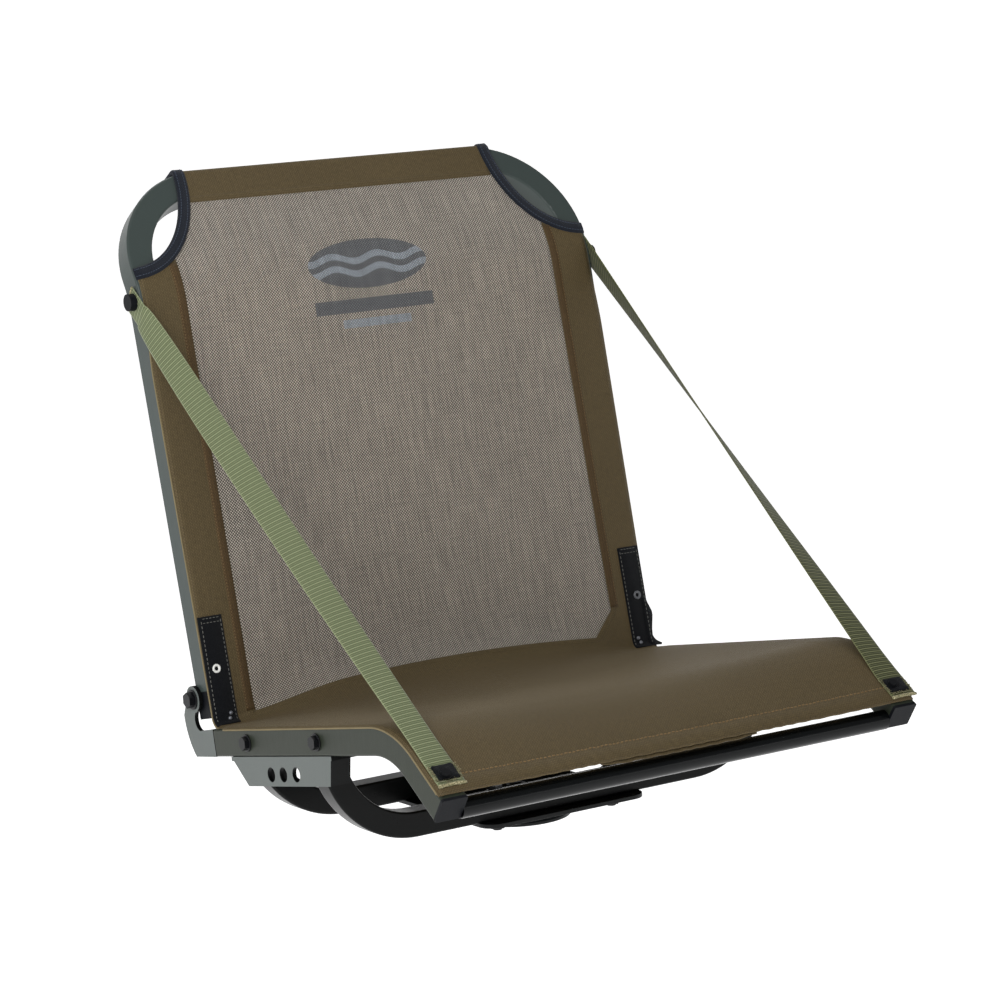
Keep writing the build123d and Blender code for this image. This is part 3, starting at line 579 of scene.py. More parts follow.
def webbing_material(name, ground_low, ground_high, pale, share):
    """Ribbed webbing: pale, slightly bowed cross threads on a green ground, with light edges."""
    shade = Shade(name, Sheen_Weight=0.12, Sheen_Roughness=0.4, Specular_IOR_Level=0.25)
    u, v, vector = shade.uv()
    across = shade.maths("DIVIDE", u, STRAP_HALF * MM)
    bowed = shade.scaled(shade.times(across, across), -BOW * MM, v)
    ribs = shade.maths("DIVIDE", bowed, RIB * MM)
    hump = shade.hump(ribs)
    crest = shade.maths("POWER", hump, 4.0)
    every_second = shade.maths("FLOORED_MODULO", shade.maths("FLOOR", ribs), 2.0)
    strong = shade.scaled(every_second, 0.6, 0.4)
    strand = shade.hump(shade.maths("DIVIDE", u, STRAND * MM))
    slub = shade.fibres(vector, 300.0, 900.0)
    edge = shade.maths("GREATER_THAN", shade.maths("ABSOLUTE", across), 0.94)
    threads = shade.times(crest, strong)
    light = shade.maths("MAXIMUM", threads, shade.times(edge, 0.55))
    ground = shade.mix(slub, ground_low, ground_high)
    ground = shade.dim(ground, shade.scaled(strand, 0.25, 0.8))
    shade.colour(shade.mix(shade.times(light, share), ground, pale))
    shade.rough(0.75)
    shade.bump(crest, 0.0003, 0.6)
    shade.bump(strand, 0.00015, 0.4)
    return shade.material


def fray_material():
    """Cut and folded webbing: pale loose ends with green and brown between them."""
    shade = Shade("frayed_webbing", Sheen_Weight=0.1, Specular_IOR_Level=0.2)
    place = shade.place()
    fine, broad = shade.noise(place, 1300.0, 3.0, 0.7), shade.noise(place, 350.0, 2.0)
    tone = shade.mix(shade.maths("GREATER_THAN", fine, 0.52), linear(104, 100, 68), linear(188, 180, 144))
    shade.colour(shade.dim(tone, shade.scaled(broad, 0.8, 0.5)))
    shade.rough(0.85)
    shade.bump(fine, 0.0006, 0.8)
    return shade.material


BOW, RIB, STRAND = 0.6, 2.2, 1.6      # of the straps' weave, in mm: bow of the ribs, and the two spacings
PAINT = metal_paint("frame_paint", linear(56, 64, 62), 0.38, 0.04, 0.2)
# the plates' paint is the frame's powder coat made lighter on the broad side faces, a painted light, and
# near-black on the lips and edges, a painted shade
PLATE_PAINT_LIT_AND_SHADED = metal_paint("plate_paint_lit_and_shaded", linear(93, 98, 96), 0.45, 0.0, 0.14, painted_shade_colour=linear(4, 5, 5))
# the rails' paint is the frame's powder coat made darker: a painted shade
RAIL_PAINT_SHADED = metal_paint("rail_paint_shaded", linear(36, 41, 32), 0.42, 0.03, 0.2)
GLOSS_PAINT = metal_paint("gloss_paint", linear(6, 8, 9), 0.2, 0.12, 0.14)
HOOP_PAINT = metal_paint("hoop_paint", linear(8, 9, 9), 0.3, 0.0, 0.12)
SWIVEL = metal_paint("swivel_finish", linear(14, 16, 17), 0.42, 0.05, 0.15)
PLASTIC = plain("black_plastic", linear(9, 11, 16), 0.55, shine=0.12)
HARDWARE = plain("black_hardware", linear(10, 11, 14), 0.36, shine=0.2)
STEEL = plain("bearing_steel", linear(190, 190, 190), 0.25, metallic=1.0)
BROWN = sling_cloth_material("sling_brown", linear(75, 63, 41), linear(95, 82, 56))
BROWN_STRIP = sling_cloth_material("sling_brown_strip", linear(66, 50, 29), linear(84, 66, 40))
MESH = mesh_material()
BINDING = tape_material("binding_black", linear(12, 16, 24), linear(30, 36, 48), sheen=0.08)
PATCH = tape_material("patch_black", linear(3, 5, 10), linear(8, 11, 17), 0.0007, 0.03)
GREEN = (linear(72, 82, 54), linear(94, 102, 72), linear(150, 156, 122))
# the right strap's webbing is the left strap's green made darker: a painted shade
GREEN_SHADED = (linear(38, 42, 20), linear(58, 62, 34), linear(134, 136, 96))
WEBBING = {-1: webbing_material("webbing_green", *GREEN, 0.8), 1: webbing_material("webbing_green_shaded", *GREEN_SHADED, 0.75)}
EYELET = plain("eyelet_white", linear(216, 216, 212), 0.35)
# the right eyelet ring is a darker grey than the left one
EYELET_GREY = plain("eyelet_grey", linear(92, 94, 98), 0.3)
RIVET_GREY = plain("rivet_grey", linear(120, 122, 128), 0.35, metallic=0.6)
THREAD_TAN = plain("thread_tan", linear(122, 98, 64), 0.7)
THREAD_GREY = plain("thread_grey", linear(98, 98, 94), 0.7)
THREAD_NAVY = plain("thread_navy", linear(58, 66, 80), 0.7)
# a light tan for the cloth's folded edge: a painted highlight
EDGE_HIGHLIGHT_TAN = plain("edge_tan_painted_highlight", linear(112, 101, 74), 0.8)
FRAY = fray_material()

PAINT_OF_SLOT = {
    "frame_paint": PAINT, "swivel_finish": SWIVEL, "black_plastic": PLASTIC, "black_hardware": HARDWARE,
    "bearing_steel": STEEL, "sling_brown": BROWN, "mesh_taupe": MESH, "binding_black": BINDING,
    "webbing_green": WEBBING[-1], "eyelet_white": EYELET}

PAINT_OF_NAME = {
    "bracket": PLATE_PAINT_LIT_AND_SHADED, "seat_rail": RAIL_PAINT_SHADED, "front_bar": GLOSS_PAINT, "hoop": HOOP_PAINT}

slot_of = {part["node"]: part["material_slot"] for part in frame["record"]["subparts"]}
for node_name, obj in nodes.items():
    special = [paint for word, paint in PAINT_OF_NAME.items() if word in node_name]
    obj.data.materials.clear()
    obj.data.materials.append((special or [PAINT_OF_SLOT[slot_of[node_name]]])[0])

# machined and pressed edges of the fastenings are slightly broken
for node_name in ("rail_bolts", "hinge_bolts", "rail_washers", "hinge_washers", "rail_nuts", "hinge_nuts",
                  "hinge_bracket_left", "hinge_bracket_right", "hinge_block_left", "hinge_block_right",
                  "strap_bolt_caps", "swivel_plate", "swivel_bolts", "swivel_nuts",
                  "rail_end_cap_left", "rail_end_cap_right"):
    obj = nodes[node_name]
    weld = obj.modifiers.new("weld", "WELD")
    weld.merge_threshold = 0.00001
    bevel = obj.modifiers.new("edges", "BEVEL")
    bevel.width = 0.0005
    bevel.segments = 2
    bevel.limit_method = "ANGLE"
    bevel.angle_limit = math.radians(35)
    bevel.harden_normals = False
    obj.modifiers.new("flat_faces", "WEIGHTED_NORMAL").keep_sharp = True


# ------------------------------------------------------------ the cloth pieces
OUTLINE_STEP = 4.0
CORNER_X, CORNER_S = 181.0, 19.0      # where the panel's folded corner starts and ends
SPREAD_X = 200.0             # beyond this the cloth's grid follows its edge
CUT_CENTRE_X = TOP_HALF + 0.5
CLEAR = CUT_CENTRE_X - CUT_X


def bends(obj):
    """Bakes the cloth piece's placement into its mesh."""
    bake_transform(obj)


def cut_depth(x, s, grow=0.0):
    """Below 1 inside the corner cut-outs, grown by grow."""
    return ((CUT_CENTRE_X - np.abs(x)) / (CUT_X + grow)) ** 2 + ((CUT_CENTRE_S - s) / (CUT_S + grow)) ** 2


def panel_low(x):
    """The mesh panel's lower edge dips towards one corner."""
    return PANEL_LOW - 9.0 * ramp(-x, 105, PANEL_HALF)


def panel_outline(grow):
    """The mesh panel's outline as (x, t) pairs, grown by grow: its other lower corner is folded in."""
    half, top = PANEL_HALF + grow, PANEL_TOP + grow
    low_x = np.linspace(-half, CORNER_X + grow * 0.4, 40)
    points = [(x, panel_low(x) - grow) for x in low_x]
    points = np.array(points + [(half, CORNER_S - grow * 0.4), (half, top), (-half, top), points[0]])
    run = run_of(points)
    line = resampled(points, run, np.linspace(0, run[-1], int(run[-1] / OUTLINE_STEP), endpoint=False))
    line[:, 1] += T_BACK
    return line


def in_panel(x, s, grow=0.0):
    """True inside the panel's outline, grown by grow."""
    half, low, top = PANEL_HALF + grow, panel_low(x) - grow, PANEL_TOP + grow
    folded = (x - CORNER_X) - (s - PANEL_LOW) * 25.0 / 26.0 > grow * 1.4
    return (np.abs(x) < half) & (s > low) & (s < top) & ~(folded & (s < CORNER_S))


def cloth_grid(name, x_lines, t_lines, keep, material, lower=0.0):
    """Part of the cloth where keep(x, s) is True, its cut corners pulled onto the ellipse."""
    x0, t0 = np.meshgrid(x_lines, t_lines)
    stretch = (half_width(t0) - SPREAD_X) / (SEAT_HALF + 0.2 - SPREAD_X)
    x = np.where(np.abs(x0) > SPREAD_X, np.sign(x0) * (SPREAD_X + (np.abs(x0) - SPREAD_X) * stretch), x0)
    s = t0 - T_BACK
    top = s > 380
    gap = np.sqrt(np.maximum(cut_depth(x, s), 1e-9))
    gone = top & (gap < 1) & (np.abs(x) > CLEAR) & (s < CUT_CENTRE_S)
    beside = (s >= CUT_CENTRE_S) & (np.abs(x) > CLEAR)
    quads = grid_faces(*x.shape)
    flat_gone = (gone | beside).ravel()
    wanted = keep(x, s).ravel()
    use = ~flat_gone[quads].all(1) & wanted[quads].any(1)
    near = gone & (gap > 0.8)
    centre_x = np.sign(x) * CUT_CENTRE_X
    x = np.where(near, centre_x + (x - centre_x) / np.maximum(gap, 0.1), x)
    s = np.where(near, CUT_CENTRE_S + (s - CUT_CENTRE_S) / np.maximum(gap, 0.1), s)
    x = np.where(beside, np.sign(x) * CLEAR, x)
    quads = quads[use]
    corners = np.stack([x.ravel(), s.ravel()], 1)[quads]
    area = np.abs(np.cross(corners[:, 2] - corners[:, 0], corners[:, 3] - corners[:, 1])) / 2
    quads = quads[area > 0.05]
    used = np.unique(quads)
    index = np.zeros(x.size, int)
    index[used] = np.arange(len(used))
    flat_x, flat_s = x.ravel()[used], s.ravel()[used]
    points = over(flat_x, flat_s + T_BACK, np.full(len(used), -lower))
    return make_mesh(name, points, index[quads], np.stack([flat_x, flat_s], 1), material)


STEP = 3.0
sides_x = np.linspace(SPREAD_X, SEAT_HALF + 0.2, 15)
middle_x = np.linspace(-SPREAD_X, SPREAD_X, int(2 * SPREAD_X / STEP))
x_lines = np.concatenate([-sides_x[::-1][:-1], middle_x, sides_x[1:]])
t_top = T_BACK + BACK_HEIGHT - 4
t_lines = np.concatenate([np.arange(0, t_top, STEP), np.arange(t_top, T_MAX - 1, 1.5)])
sling = cloth_grid("sling_cloth", x_lines, t_lines, lambda x, s: ~in_panel(x, s, 3.5), BROWN)
thick = sling.modifiers.new("thickness", "SOLIDIFY")
thick.thickness, thick.offset = CLOTH * MM, 0.0
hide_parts("seat_sling", "sling_junction", "back_border")
bends(sling)

panel_t = t_lines[(t_lines > T_BACK + PANEL_LOW - 15) & (t_lines < T_BACK + PANEL_TOP + 6)]
panel_x = x_lines[np.abs(x_lines) < PANEL_HALF + 6]
panel = cloth_grid("mesh_panel", panel_x, panel_t, lambda x, s: in_panel(x, s, 1.0), MESH, lower=0.25)
thick = panel.modifiers.new("thickness", "SOLIDIFY")
thick.thickness, thick.offset = 0.7 * MM, 0.0
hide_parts("back_panel")
bends(panel)

# the border is turned under round the mesh panel, and its two sides have a sewn strip
seam, strip = Pile(), Pile()


def clear_runs(line, grow):
    """The stretches of a closed line that stay out of the corner cut-outs."""
    keep = cut_depth(line[:, 0], line[:, 1] - T_BACK, grow) > 1
    start = int(np.argmin(keep)) if not keep.all() else 0
    line, keep = np.roll(line, -start, 0), np.roll(keep, -start)
    runs, current = [], []
    for point, kept in zip(line, keep):
        if kept:
            current.append(point)
        elif current:
            runs.append(np.array(current))
            current = []
    if current:
        runs.append(np.array(current))
    return [r for r in runs if len(r) > 3]


for run in clear_runs(panel_outline(3.4), 9.0):
    ribbon(seam, run, [(-3.7, -0.2), (-3.7, 0.5), (-3.3, 0.85), (3.2, 0.64), (3.7, 0.4), (3.7, -0.2)])
seam_obj = seam.done("panel_seam", BROWN)
for side in SIDES.values():
    strip_t = T_BACK + np.arange(-14.0 if side < 0 else 22.0, 411.0, 4.0)
    ribbon(strip, path_at(side * (PANEL_HALF + 4.4), strip_t), pillow(8.6, 0.1, 1.1, 0.4))
strip_obj = strip.done("panel_side_strips", BROWN_STRIP)
for obj in (seam_obj, strip_obj):
    bends(obj)

# front hem, folded back on itself, which hangs a little in its middle
HANG_X, HANG_HALF, HANG_BY = -7.0, 84.0, 4.6
hem = Pile()
hem_x = np.linspace(-SEAT_HALF + 1.5, SEAT_HALF - 1.5, 150)
ribbon(hem, path_at(hem_x, 10.0), pillow(19.0, 0.2, 1.15, 0.5))
droop = HANG_BY * (1 - ramp(np.abs(hem_x - HANG_X), 62, HANG_HALF))
hang = path_at(hem_x, 5.0 - droop / 2)[np.abs(hem_x - HANG_X) < HANG_HALF]
ribbon(hem, hang, [(-6.0, -4.6), (-6.0, -3.6), (6.0, -1.0), (6.0, -2.0)])
ribbon(hem, path_at(hem_x, 0.2), round_section(1.0, 0.3))
hem_obj = hem.done("front_hem", BROWN)
bends(hem_obj)

tan = Pile()
for side in SIDES.values():
    strip_t = T_BACK + np.arange(-12.0 if side < 0 else 24.0, 410.0, 6.0)
    stitches(tan, path_at(side * (PANEL_HALF + 7.6), strip_t), 1.15, pitch=3.0, length=2.0, radius=0.2)
stitches(tan, path_at(hem_x, 18.2), 1.2, pitch=4.2, length=3.0, radius=0.5)
tan_obj = tan.done("sling_stitches", THREAD_TAN)
bends(tan_obj)

# raw folded edge of the cloth along the rails and the back tubes, its light tan a painted highlight on the fold
edge = Pile()
for side in SIDES.values():
    t_run = np.arange(3.0, T_BACK + 404.0, 3.0)
    ribbon(edge, path_at(side * (half_width(t_run) + 0.1), t_run), round_section(0.85, -0.2))
edge_obj = edge.done("cloth_edges", EDGE_HIGHLIGHT_TAN)
bends(edge_obj)


# ------------------------------------------------------------ corner bindings
def binding_path(side, inset):
    """(x, t) along a corner cut-out, inset from its edge, and on over the top bar."""
    angles = np.linspace(math.radians(91), math.radians(180), 46)
    x = CUT_CENTRE_X + (CUT_X + inset) * np.cos(angles)
    s = CUT_CENTRE_S - (CUT_S + inset) * np.sin(angles)
    over_bar = np.arange(1.0, 33.0, 1.5)
    x = np.concatenate([x, np.full(len(over_bar), x[-1])])
    s = np.concatenate([s, CUT_CENTRE_S + over_bar])
    return np.stack([side * x, T_BACK + s], 1)


BINDING_SECTION = [
    (-5.9, -0.4), (-6.4, 0.6), (-6.1, 1.7), (-5.2, 2.1), (0.0, 2.25), (4.9, 2.05), (5.6, 1.5), (5.7, 0.7),
    (5.6, -0.2), (5.7, -1.0), (5.2, -1.7), (0.0, -1.9), (-5.2, -1.7), (-6.0, -1.3)]
for name, side in SIDES.items():
    tape = Pile()
    path = binding_path(side, 5.3)
    section = [(side * d, h) for d, h in BINDING_SECTION]
    if side < 0:
        section = section[::-1]
    ribbon(tape, path, section)
    obj = tape.done(f"corner_tape_{name}", BINDING)
    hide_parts(f"corner_binding_{name}")
    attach(obj, "backrest")

navy = Pile()
for side in SIDES.values():
    for inset in (2.0, 8.6):
        stitches(navy, binding_path(side, inset), 2.25, pitch=3.0, length=2.2, radius=0.34)
navy_obj = navy.done("binding_stitches", THREAD_NAVY)
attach(navy_obj, "backrest")


def block(pile, x, t, half_x, half_t, low, high):
    """A soft rectangular pad lying over the cloth."""
    n = 15
    u, v = np.meshgrid(np.linspace(-1, 1, n), np.linspace(-1, 1, n))
    u, v = np.sign(u) * np.abs(u) ** 0.6, np.sign(v) * np.abs(v) ** 0.6
    edge = np.clip(1 - np.maximum(np.abs(u), np.abs(v)) ** 6, 0, 1) ** 0.4
    crumple = 0.12 * np.sin(7 * u + 3 * v) + 0.1 * np.sin(11 * v - 5 * u)
    points = over(x + half_x * u, t + half_t * v, low + (high - low) * edge * (1 + crumple))
    rim = [r * n + c for r, c in [(0, c) for c in range(n)] + [(r, n - 1) for r in range(1, n)]
           + [(n - 1, c) for c in range(n - 2, -1, -1)] + [(r, 0) for r in range(n - 2, 0, -1)]]
    uv = np.stack([half_x * u, half_t * v], -1).reshape(-1, 2)
    pile.add(points, grid_faces(n, n).tolist() + [rim[::-1]], uv)


# ------------------------------------------------------------ reinforcing patches, eyelets and rivets
PATCH_X, PATCH_WIDTH = 236.9, 24.4
PATCH_LOW, PATCH_HIGH = -25.0, 80.0      # up the back from the hinge end of the cloth
EYELET_X, EYELET_S = 238.8, 30.0
RIVETS_AT = ((-18.0, 233.5), (-12.5, 231.5))
grey = Pile()
for name, side in SIDES.items():
    tape = Pile()
    patch_t = np.arange(T_BACK + PATCH_LOW, T_BACK + PATCH_HIGH, 2.0)
    ribbon(tape, path_at(side * PATCH_X, patch_t), pillow(PATCH_WIDTH, 0.3, 1.95, 0.6))
    if side > 0:                 # the cloth bulges round the hinge bolt, and the tape's end stands out
        up = np.arange(-22.0, 28.0, 2.0)
        # the wide lower end, from -22 to -17, is black tape laid where the gap between the cloth and the hinge is
        # in shadow: a painted shadow; the swell from 8 to 12 is the cloth over the hinge bolt
        reach = np.interp(up, [-22, -17, -12, -6, 8, 12, 27], [9.5, 4.0, 1.6, 2.2, 5.4, 5.2, -0.6])
        x = 244.0 + np.stack([0 * up, 5.0 + reach, 5.0 + reach, 0 * up], 1)
        height = np.broadcast_to([2.0, 1.5, -1.2, -0.8], x.shape)
        points = over(x, np.broadcast_to(T_BACK + up[:, None], x.shape), height)
        tape.add(points, tube_faces(*x.shape))
    obj = tape.done(f"hinge_patch_{name}", PATCH)
    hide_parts(f"edge_patch_{name}")
    bends(obj)
    for x in (226.6, 246.6):
        line_t = patch_t[(patch_t > T_BACK + PATCH_LOW + 3) & (patch_t < T_BACK + PATCH_HIGH - 2)]
        stitches(grey, path_at(side * x, line_t), 2.0, pitch=4.2, length=2.6, radius=0.36)
    for up in (77.0, 73.0):
        across = np.linspace(side * 227.5, side * 246.0, 12)
        stitches(grey, path_at(across, T_BACK + up), 2.0, pitch=3.6, length=2.4, radius=0.3)
grey_obj = grey.done("patch_stitches", THREAD_GREY)
bends(grey_obj)


def turned(pile, centre, axis, profile, count):
    """A turned shape: profile is (radius, height) pairs from the outside in."""
    axis = np.array(axis, float) / np.linalg.norm(axis)
    side = np.cross(axis, [1.0, 0, 0]) if abs(axis[0]) < 0.9 else np.cross(axis, [0, 1.0, 0])
    side /= np.linalg.norm(side)
    other = np.cross(axis, side)
    angles = np.arange(count) * 2 * math.pi / count
    spokes = [math.cos(a) * side + math.sin(a) * other for a in angles]
    points = [np.array(centre) + r * spoke + h * axis for r, h in profile for spoke in spokes]
    pile.add(points, grid_faces(len(profile), count, wrap=True).tolist())


RING = [(4.2, 1.6), (4.3, 2.2), (3.9, 2.8), (3.3, 3.0), (2.5, 2.8), (2.0, 2.2), (1.9, 1.0)]
RIVET = [(1.9, 1.7), (1.8, 2.6), (1.2, 3.2), (0.02, 3.35)]
rivets = Pile()
for name, side in SIDES.items():
    rings = Pile()
    x, t = side * EYELET_X, T_BACK + EYELET_S
    turned(rings, surface(x, t), normal(x, t), RING, 28)
    for s, x in RIVETS_AT:
        turned(rivets, surface(side * x, T_BACK + s), normal(side * x, T_BACK + s), RIVET, 16)
    obj = rings.done(f"eyelet_ring_{name}", EYELET if side < 0 else EYELET_GREY)
    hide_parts("patch_eyelets")
    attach(obj, "backrest")
obj = rivets.done("rivet_heads", RIVET_GREY)
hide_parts("patch_rivets")
bends(obj)


# ------------------------------------------------------------ straps
def front_point(back_from_end, up):
    return np.array(RAIL_FRONT) - FRONT_DIR * back_from_end + FRONT_UP * up


STRAP_TOP_X, STRAP_X, SCREW_BACK = 254.2, 240.0, 24.0
BOLT_YZ = back_at(378.0, -TUBE / 2 + 3.0)
# the two straps aren't set quite alike, so these are by side
FOOT_X = {-1: -STRAP_X + 3.0, 1: STRAP_X + 5.4}
FOOT_END = {-1: 10.0, 1: 14.0}                  # from the screw to the folded end
TOP_SHIFT = {-1: -4.0, 1: 7.0}                  # along the back
SLACK = {-1: 4.5, 1: 0.0}
TWIST = {-1: (0.0, 0.45), 1: (0.15, 1.0)}       # share of the quarter turn at the top, and its power


def strap_line(side, count):
    """Centre line, flat normal and edge direction of a strap from its top end to its foot."""
    top = np.array([side * STRAP_TOP_X, *(BOLT_YZ + BACK_DIR * TOP_SHIFT[side])])
    low = np.array([FOOT_X[side], *front_point(SCREW_BACK, TUBE / 2 + CLOTH + 1.2)])
    run = (low - top) / np.linalg.norm(low - top)
    ahead = np.array([0.0, *FRONT_DIR])
    landing = low - ahead * 16
    keys = [top - run * 13, top + run * 14, landing, low + ahead * FOOT_END[side]]
    length = np.concatenate([[0], np.cumsum([np.linalg.norm(b - a) for a, b in zip(keys, keys[1:])])])
    at = np.linspace(0, length[-1], count)
    line = np.stack([np.interp(at, length, [k[i] for k in keys]) for i in range(3)], 1)
    soften = int(count * 14 / length[-1])
    kernel = np.hanning(2 * soften + 3)[1:-1]
    kernel /= kernel.sum()
    padded = np.pad(line, ((soften, soften), (0, 0)), mode="reflect", reflect_type="odd")
    line = np.stack([np.convolve(padded[:, i], kernel, "valid") for i in range(3)], 1)
    share = np.clip((at - length[1]) / (length[2] - length[1]), 0, 1)
    line[:, 2] -= SLACK[side] * np.sin(share * math.pi)
    tangent = np.gradient(line, axis=0)
    tangent /= np.linalg.norm(tangent, axis=1, keepdims=True)
    first, power = TWIST[side]
    angle = (first + (1 - first) * share ** power) * math.pi / 2
    start = np.array([side * 1.0, 0, 0])
    finish = np.array([0.0, *FRONT_UP])
    flat = np.cos(angle)[:, None] * start + np.sin(angle)[:, None] * finish
    flat -= (flat * tangent).sum(1)[:, None] * tangent
    flat /= np.linalg.norm(flat, axis=1, keepdims=True)
    return at, line, flat, np.cross(tangent, flat)


def strap_points(side, count):
    """Ribbed webbing: the ribs are real, and the edges are rounded."""
    at, line, flat, edge_dir = strap_line(side, count)
    across = np.linspace(-1, 1, 15)
    bowed = at[:, None] - BOW * across[None, :] ** 2
    rib = 0.16 * np.abs(np.sin(bowed * math.pi / RIB))
    wide = STRAP_HALF * (1 + 0.07 * ramp(at, at[-1] - 60, at[-1] - 20))[:, None, None]
    body = 0.62 * np.sqrt(np.clip(1 - across[None, :] ** 8, 0, 1)) + rib
    body = np.where(np.abs(across)[None, :] > 0.999, 0.12, body)
    top = line[:, None] + edge_dir[:, None] * across[None, :, None] * wide + flat[:, None] * body[..., None]
    low = line[:, None] + edge_dir[:, None] * across[None, :, None] * wide - flat[:, None] * body[..., None]
    points = np.concatenate([top, low[:, ::-1]], 1)
    u = np.concatenate([across * STRAP_HALF, across[::-1] * STRAP_HALF])
    uv = np.stack(np.broadcast_arrays(u[None, :], at[:, None]), -1)
    return points, uv


def strap_roll(pile, end, ahead, across, up, thick, wide):
    """The folded end of a strap: a soft roll from edge to edge."""
    angles = np.arange(12) * math.pi / 6
    rows = np.linspace(-1, 1, 26)
    points = []
    for row in rows:
        swell = 1 + 0.1 * math.sin(9.0 * row) + 0.08 * math.sin(23.0 * row + 1)
        swell *= 0.75 if abs(row) > 0.99 else 1.0
        for a in angles:
            reach = thick * 1.15 * swell * math.cos(a) + 0.8 * row * row - 0.8
            points.append(end + across * row * wide + ahead * reach + up * thick * swell * math.sin(a))
    pile.add(points, tube_faces(len(rows), len(angles)))


def fibre(pile, start, lean, length, radius):
    """One loose thread end that curls over."""
    bend = np.cross(lean, [0.3, 0.5, 0.8])
    ring = np.arange(4) * math.pi / 2
    side = np.cross(lean, bend)
    side /= np.linalg.norm(side) + 1e-9
    other = np.cross(side, lean)
    other /= np.linalg.norm(other) + 1e-9
    points = []
    for k in range(4):
        middle = start + lean * length * k / 3 + bend * length * 0.5 * (k / 3) ** 2
        points += [middle + radius * (1 - 0.2 * k) * (math.cos(a) * side + math.sin(a) * other) for a in ring]
    pile.add(points, grid_faces(4, 4, wrap=True).tolist() + [[0, 3, 2, 1], [12, 13, 14, 15]])


random = np.random.RandomState(11)
for name, side in SIDES.items():
    count = 1240
    points, uv = strap_points(side, count)
    faces = tube_faces(*points.shape[:2])
    obj = make_mesh(f"back_strap_{name}", points.reshape(-1, 3), faces, uv.reshape(-1, 2), WEBBING[side])
    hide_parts(f"strap_{name}")
    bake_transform(obj)

    at, line, flat, across = strap_line(side, count)
    foot, head, pad = Pile(), Pile(), Pile()
    ahead = np.array([0.0, *FRONT_DIR])
    strap_roll(foot, line[-1] + flat[-1] * 0.25, ahead, across[-1], flat[-1], 1.5, STRAP_HALF * 1.08)
    backwards = (line[0] - line[20]) / np.linalg.norm(line[0] - line[20])
    strap_roll(head, line[0] + flat[0] * 0.2, backwards, across[0], flat[0], 1.2, STRAP_HALF)
    pad_t = SCREW_BACK - 2.5 - (FOOT_END[side] - 10.0)
    block(pad, FOOT_X[side] - side * 0.5, pad_t, 10.6, 8.6, 2.3, 4.7)
    for k in range(220):
        where = random.uniform(-1, 1)
        if k % 3:
            edge_side = 1 if k % 2 else -1
            start = over(FOOT_X[side] + edge_side * random.uniform(10.2, 13.2), pad_t + 8.5 * where, 2.3)
            lean = np.array([edge_side * random.uniform(0.1, 0.7), 0, 0])
            lean = lean + flat[-1] * random.uniform(0.3, 0.9) + ahead * random.uniform(-0.4, 0.5)
        else:
            start = over(FOOT_X[side] + where * 12, pad_t - random.uniform(7.6, 10.6), 2.4)
            lean = ahead * random.uniform(0.2, 0.8) + flat[-1] * random.uniform(0.2, 0.8)
            lean = lean + np.array([random.uniform(-0.5, 0.5), 0, 0])
        fibre(foot, start, lean / np.linalg.norm(lean), random.uniform(1.2, 3.0), 0.24)
    ends = ((foot, "foot_fold", FRAY, "seat"), (head, "head_fold", FRAY, "backrest"),
            (pad, "foot_pad", PATCH, "seat"))
    for pile, label, material, body in ends:
        obj = pile.done(f"strap_{label}_{name}", material)
        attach(obj, body)
        if pile is pad:
            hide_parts("strap_pads")


# ------------------------------------------------------------ studio
def cove():
    """A round pale floor that turns up a little at its far edge, so that the horizon doesn't show."""
    profile = [(0.0, 0.0), (1.5, 0.0), (4.0, 0.0), (12.0, 0.0), (40.0, 0.0), (150.0, 0.0), (330.0, 0.0)]
    turns = np.linspace(0.2, math.pi / 2, 8)
    profile += [(330.0 + 40.0 * math.sin(a), 40.0 - 40.0 * math.cos(a)) for a in turns]
    profile.append((370.0, 62.0))
    angles = np.arange(72) * 2 * math.pi / 72
    points = [(r * math.cos(a), r * math.sin(a), h - 0.5) for r, h in profile for a in angles]
    mesh = bpy.data.meshes.new("floor")
    mesh.from_pydata(points, [], grid_faces(len(profile), 72, wrap=True).tolist())
    obj = bpy.data.objects.new("floor", mesh)
    bpy.context.scene.collection.objects.link(obj)
    return obj


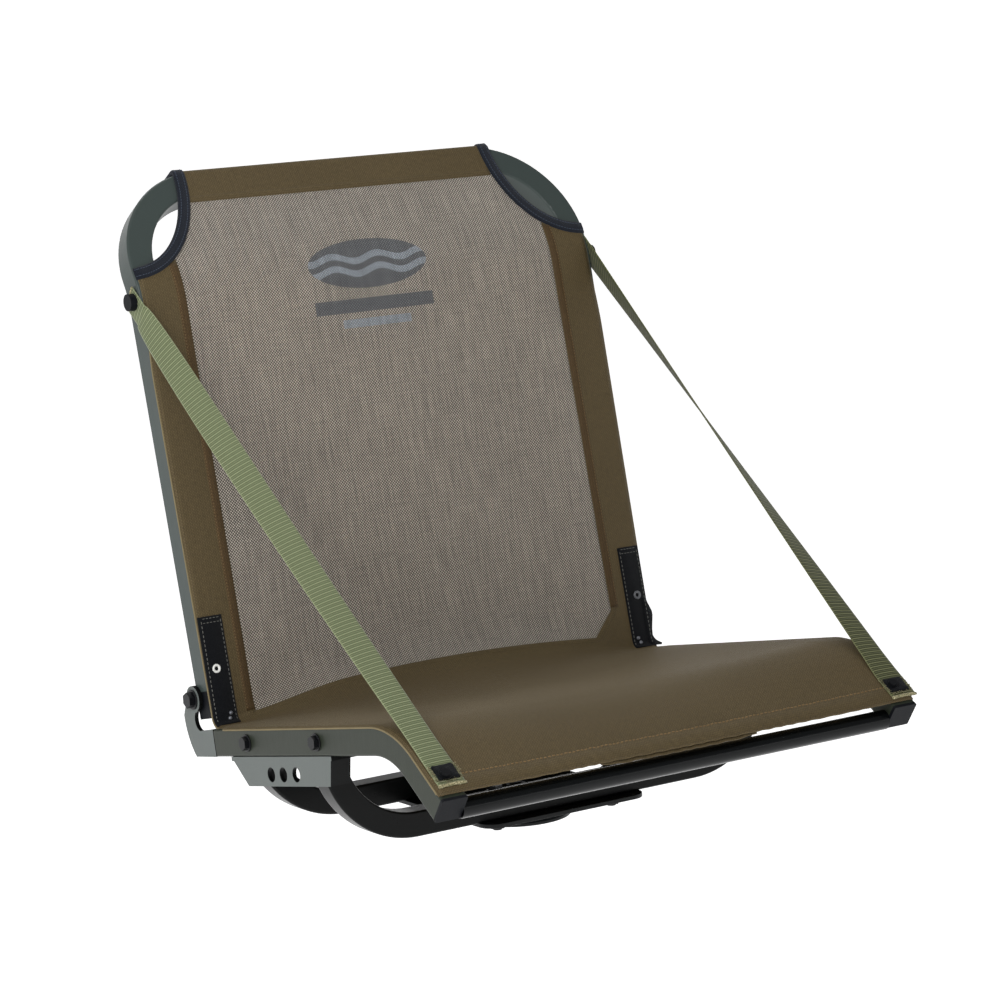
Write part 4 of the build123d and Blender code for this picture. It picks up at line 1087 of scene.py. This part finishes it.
FLOOR_GREY, FLOOR_GLOW, WORLD_GLOW = 0.8, 0.84, 0.25
floor = cove()
floor_shade = Shade("floor_white", Roughness=0.9, Specular_IOR_Level=0.1)
floor_shade.colour((FLOOR_GREY, FLOOR_GREY, FLOOR_GREY))
floor_shade.shader.inputs["Emission Color"].default_value = (1.0, 1.0, 1.0, 1.0)
floor_shade.shader.inputs["Emission Strength"].default_value = FLOOR_GLOW
floor.data.materials.append(floor_shade.material)

scene = bpy.context.scene
world = bpy.data.worlds.new("studio")
world.use_nodes = True
world.node_tree.nodes["Background"].inputs[0].default_value = (1.0, 1.0, 1.0, 1.0)
world.node_tree.nodes["Background"].inputs[1].default_value = WORLD_GLOW
scene.world = world
scene.view_settings.view_transform = "Standard"


def area_light(name, place, aim, size, power, colour=(1.0, 1.0, 1.0)):
    data = bpy.data.lights.new(name, "AREA")
    data.shape, data.size, data.size_y = "RECTANGLE", size[0], size[1]
    data.energy, data.color = power, colour
    obj = bpy.data.objects.new(name, data)
    obj.location = place
    obj.rotation_euler = (Vector(aim) - Vector(place)).to_track_quat("-Z", "Y").to_euler()
    obj.visible_camera = False
    scene.collection.objects.link(obj)


area_light("key", (-1.35, -0.95, 1.15), (0, 0.05, 0.3), (0.8, 0.8), 21)
area_light("fill", (-1.2, -2.6, 2.2), (0, 0, 0.25), (1.2, 1.2), 13)
area_light("left", (-2.6, 1.6, 0.9), (0, 0, 0.2), (1.2, 1.6), 12)
area_light("top", (0.3, 1.0, 2.6), (0, 0.0, 0.2), (1.2, 1.2), 25)

camera_data = bpy.data.cameras.new("camera")
camera_data.lens, camera_data.sensor_width = 123.81, 36.0
camera_data.clip_end = 2000.0
camera = bpy.data.objects.new("camera", camera_data)
right, up_axis, forward = (0.8348, -0.5476, -0.0576), (0.1277, 0.0910, 0.9877), (0.5356, 0.8318, -0.1458)
camera.matrix_world = Matrix((
    (right[0], up_axis[0], -forward[0], -1.7014),
    (right[1], up_axis[1], -forward[1], -2.6438),
    (right[2], up_axis[2], -forward[2], 0.7615),
    (0, 0, 0, 1)))
scene.collection.objects.link(camera)
scene.camera = camera
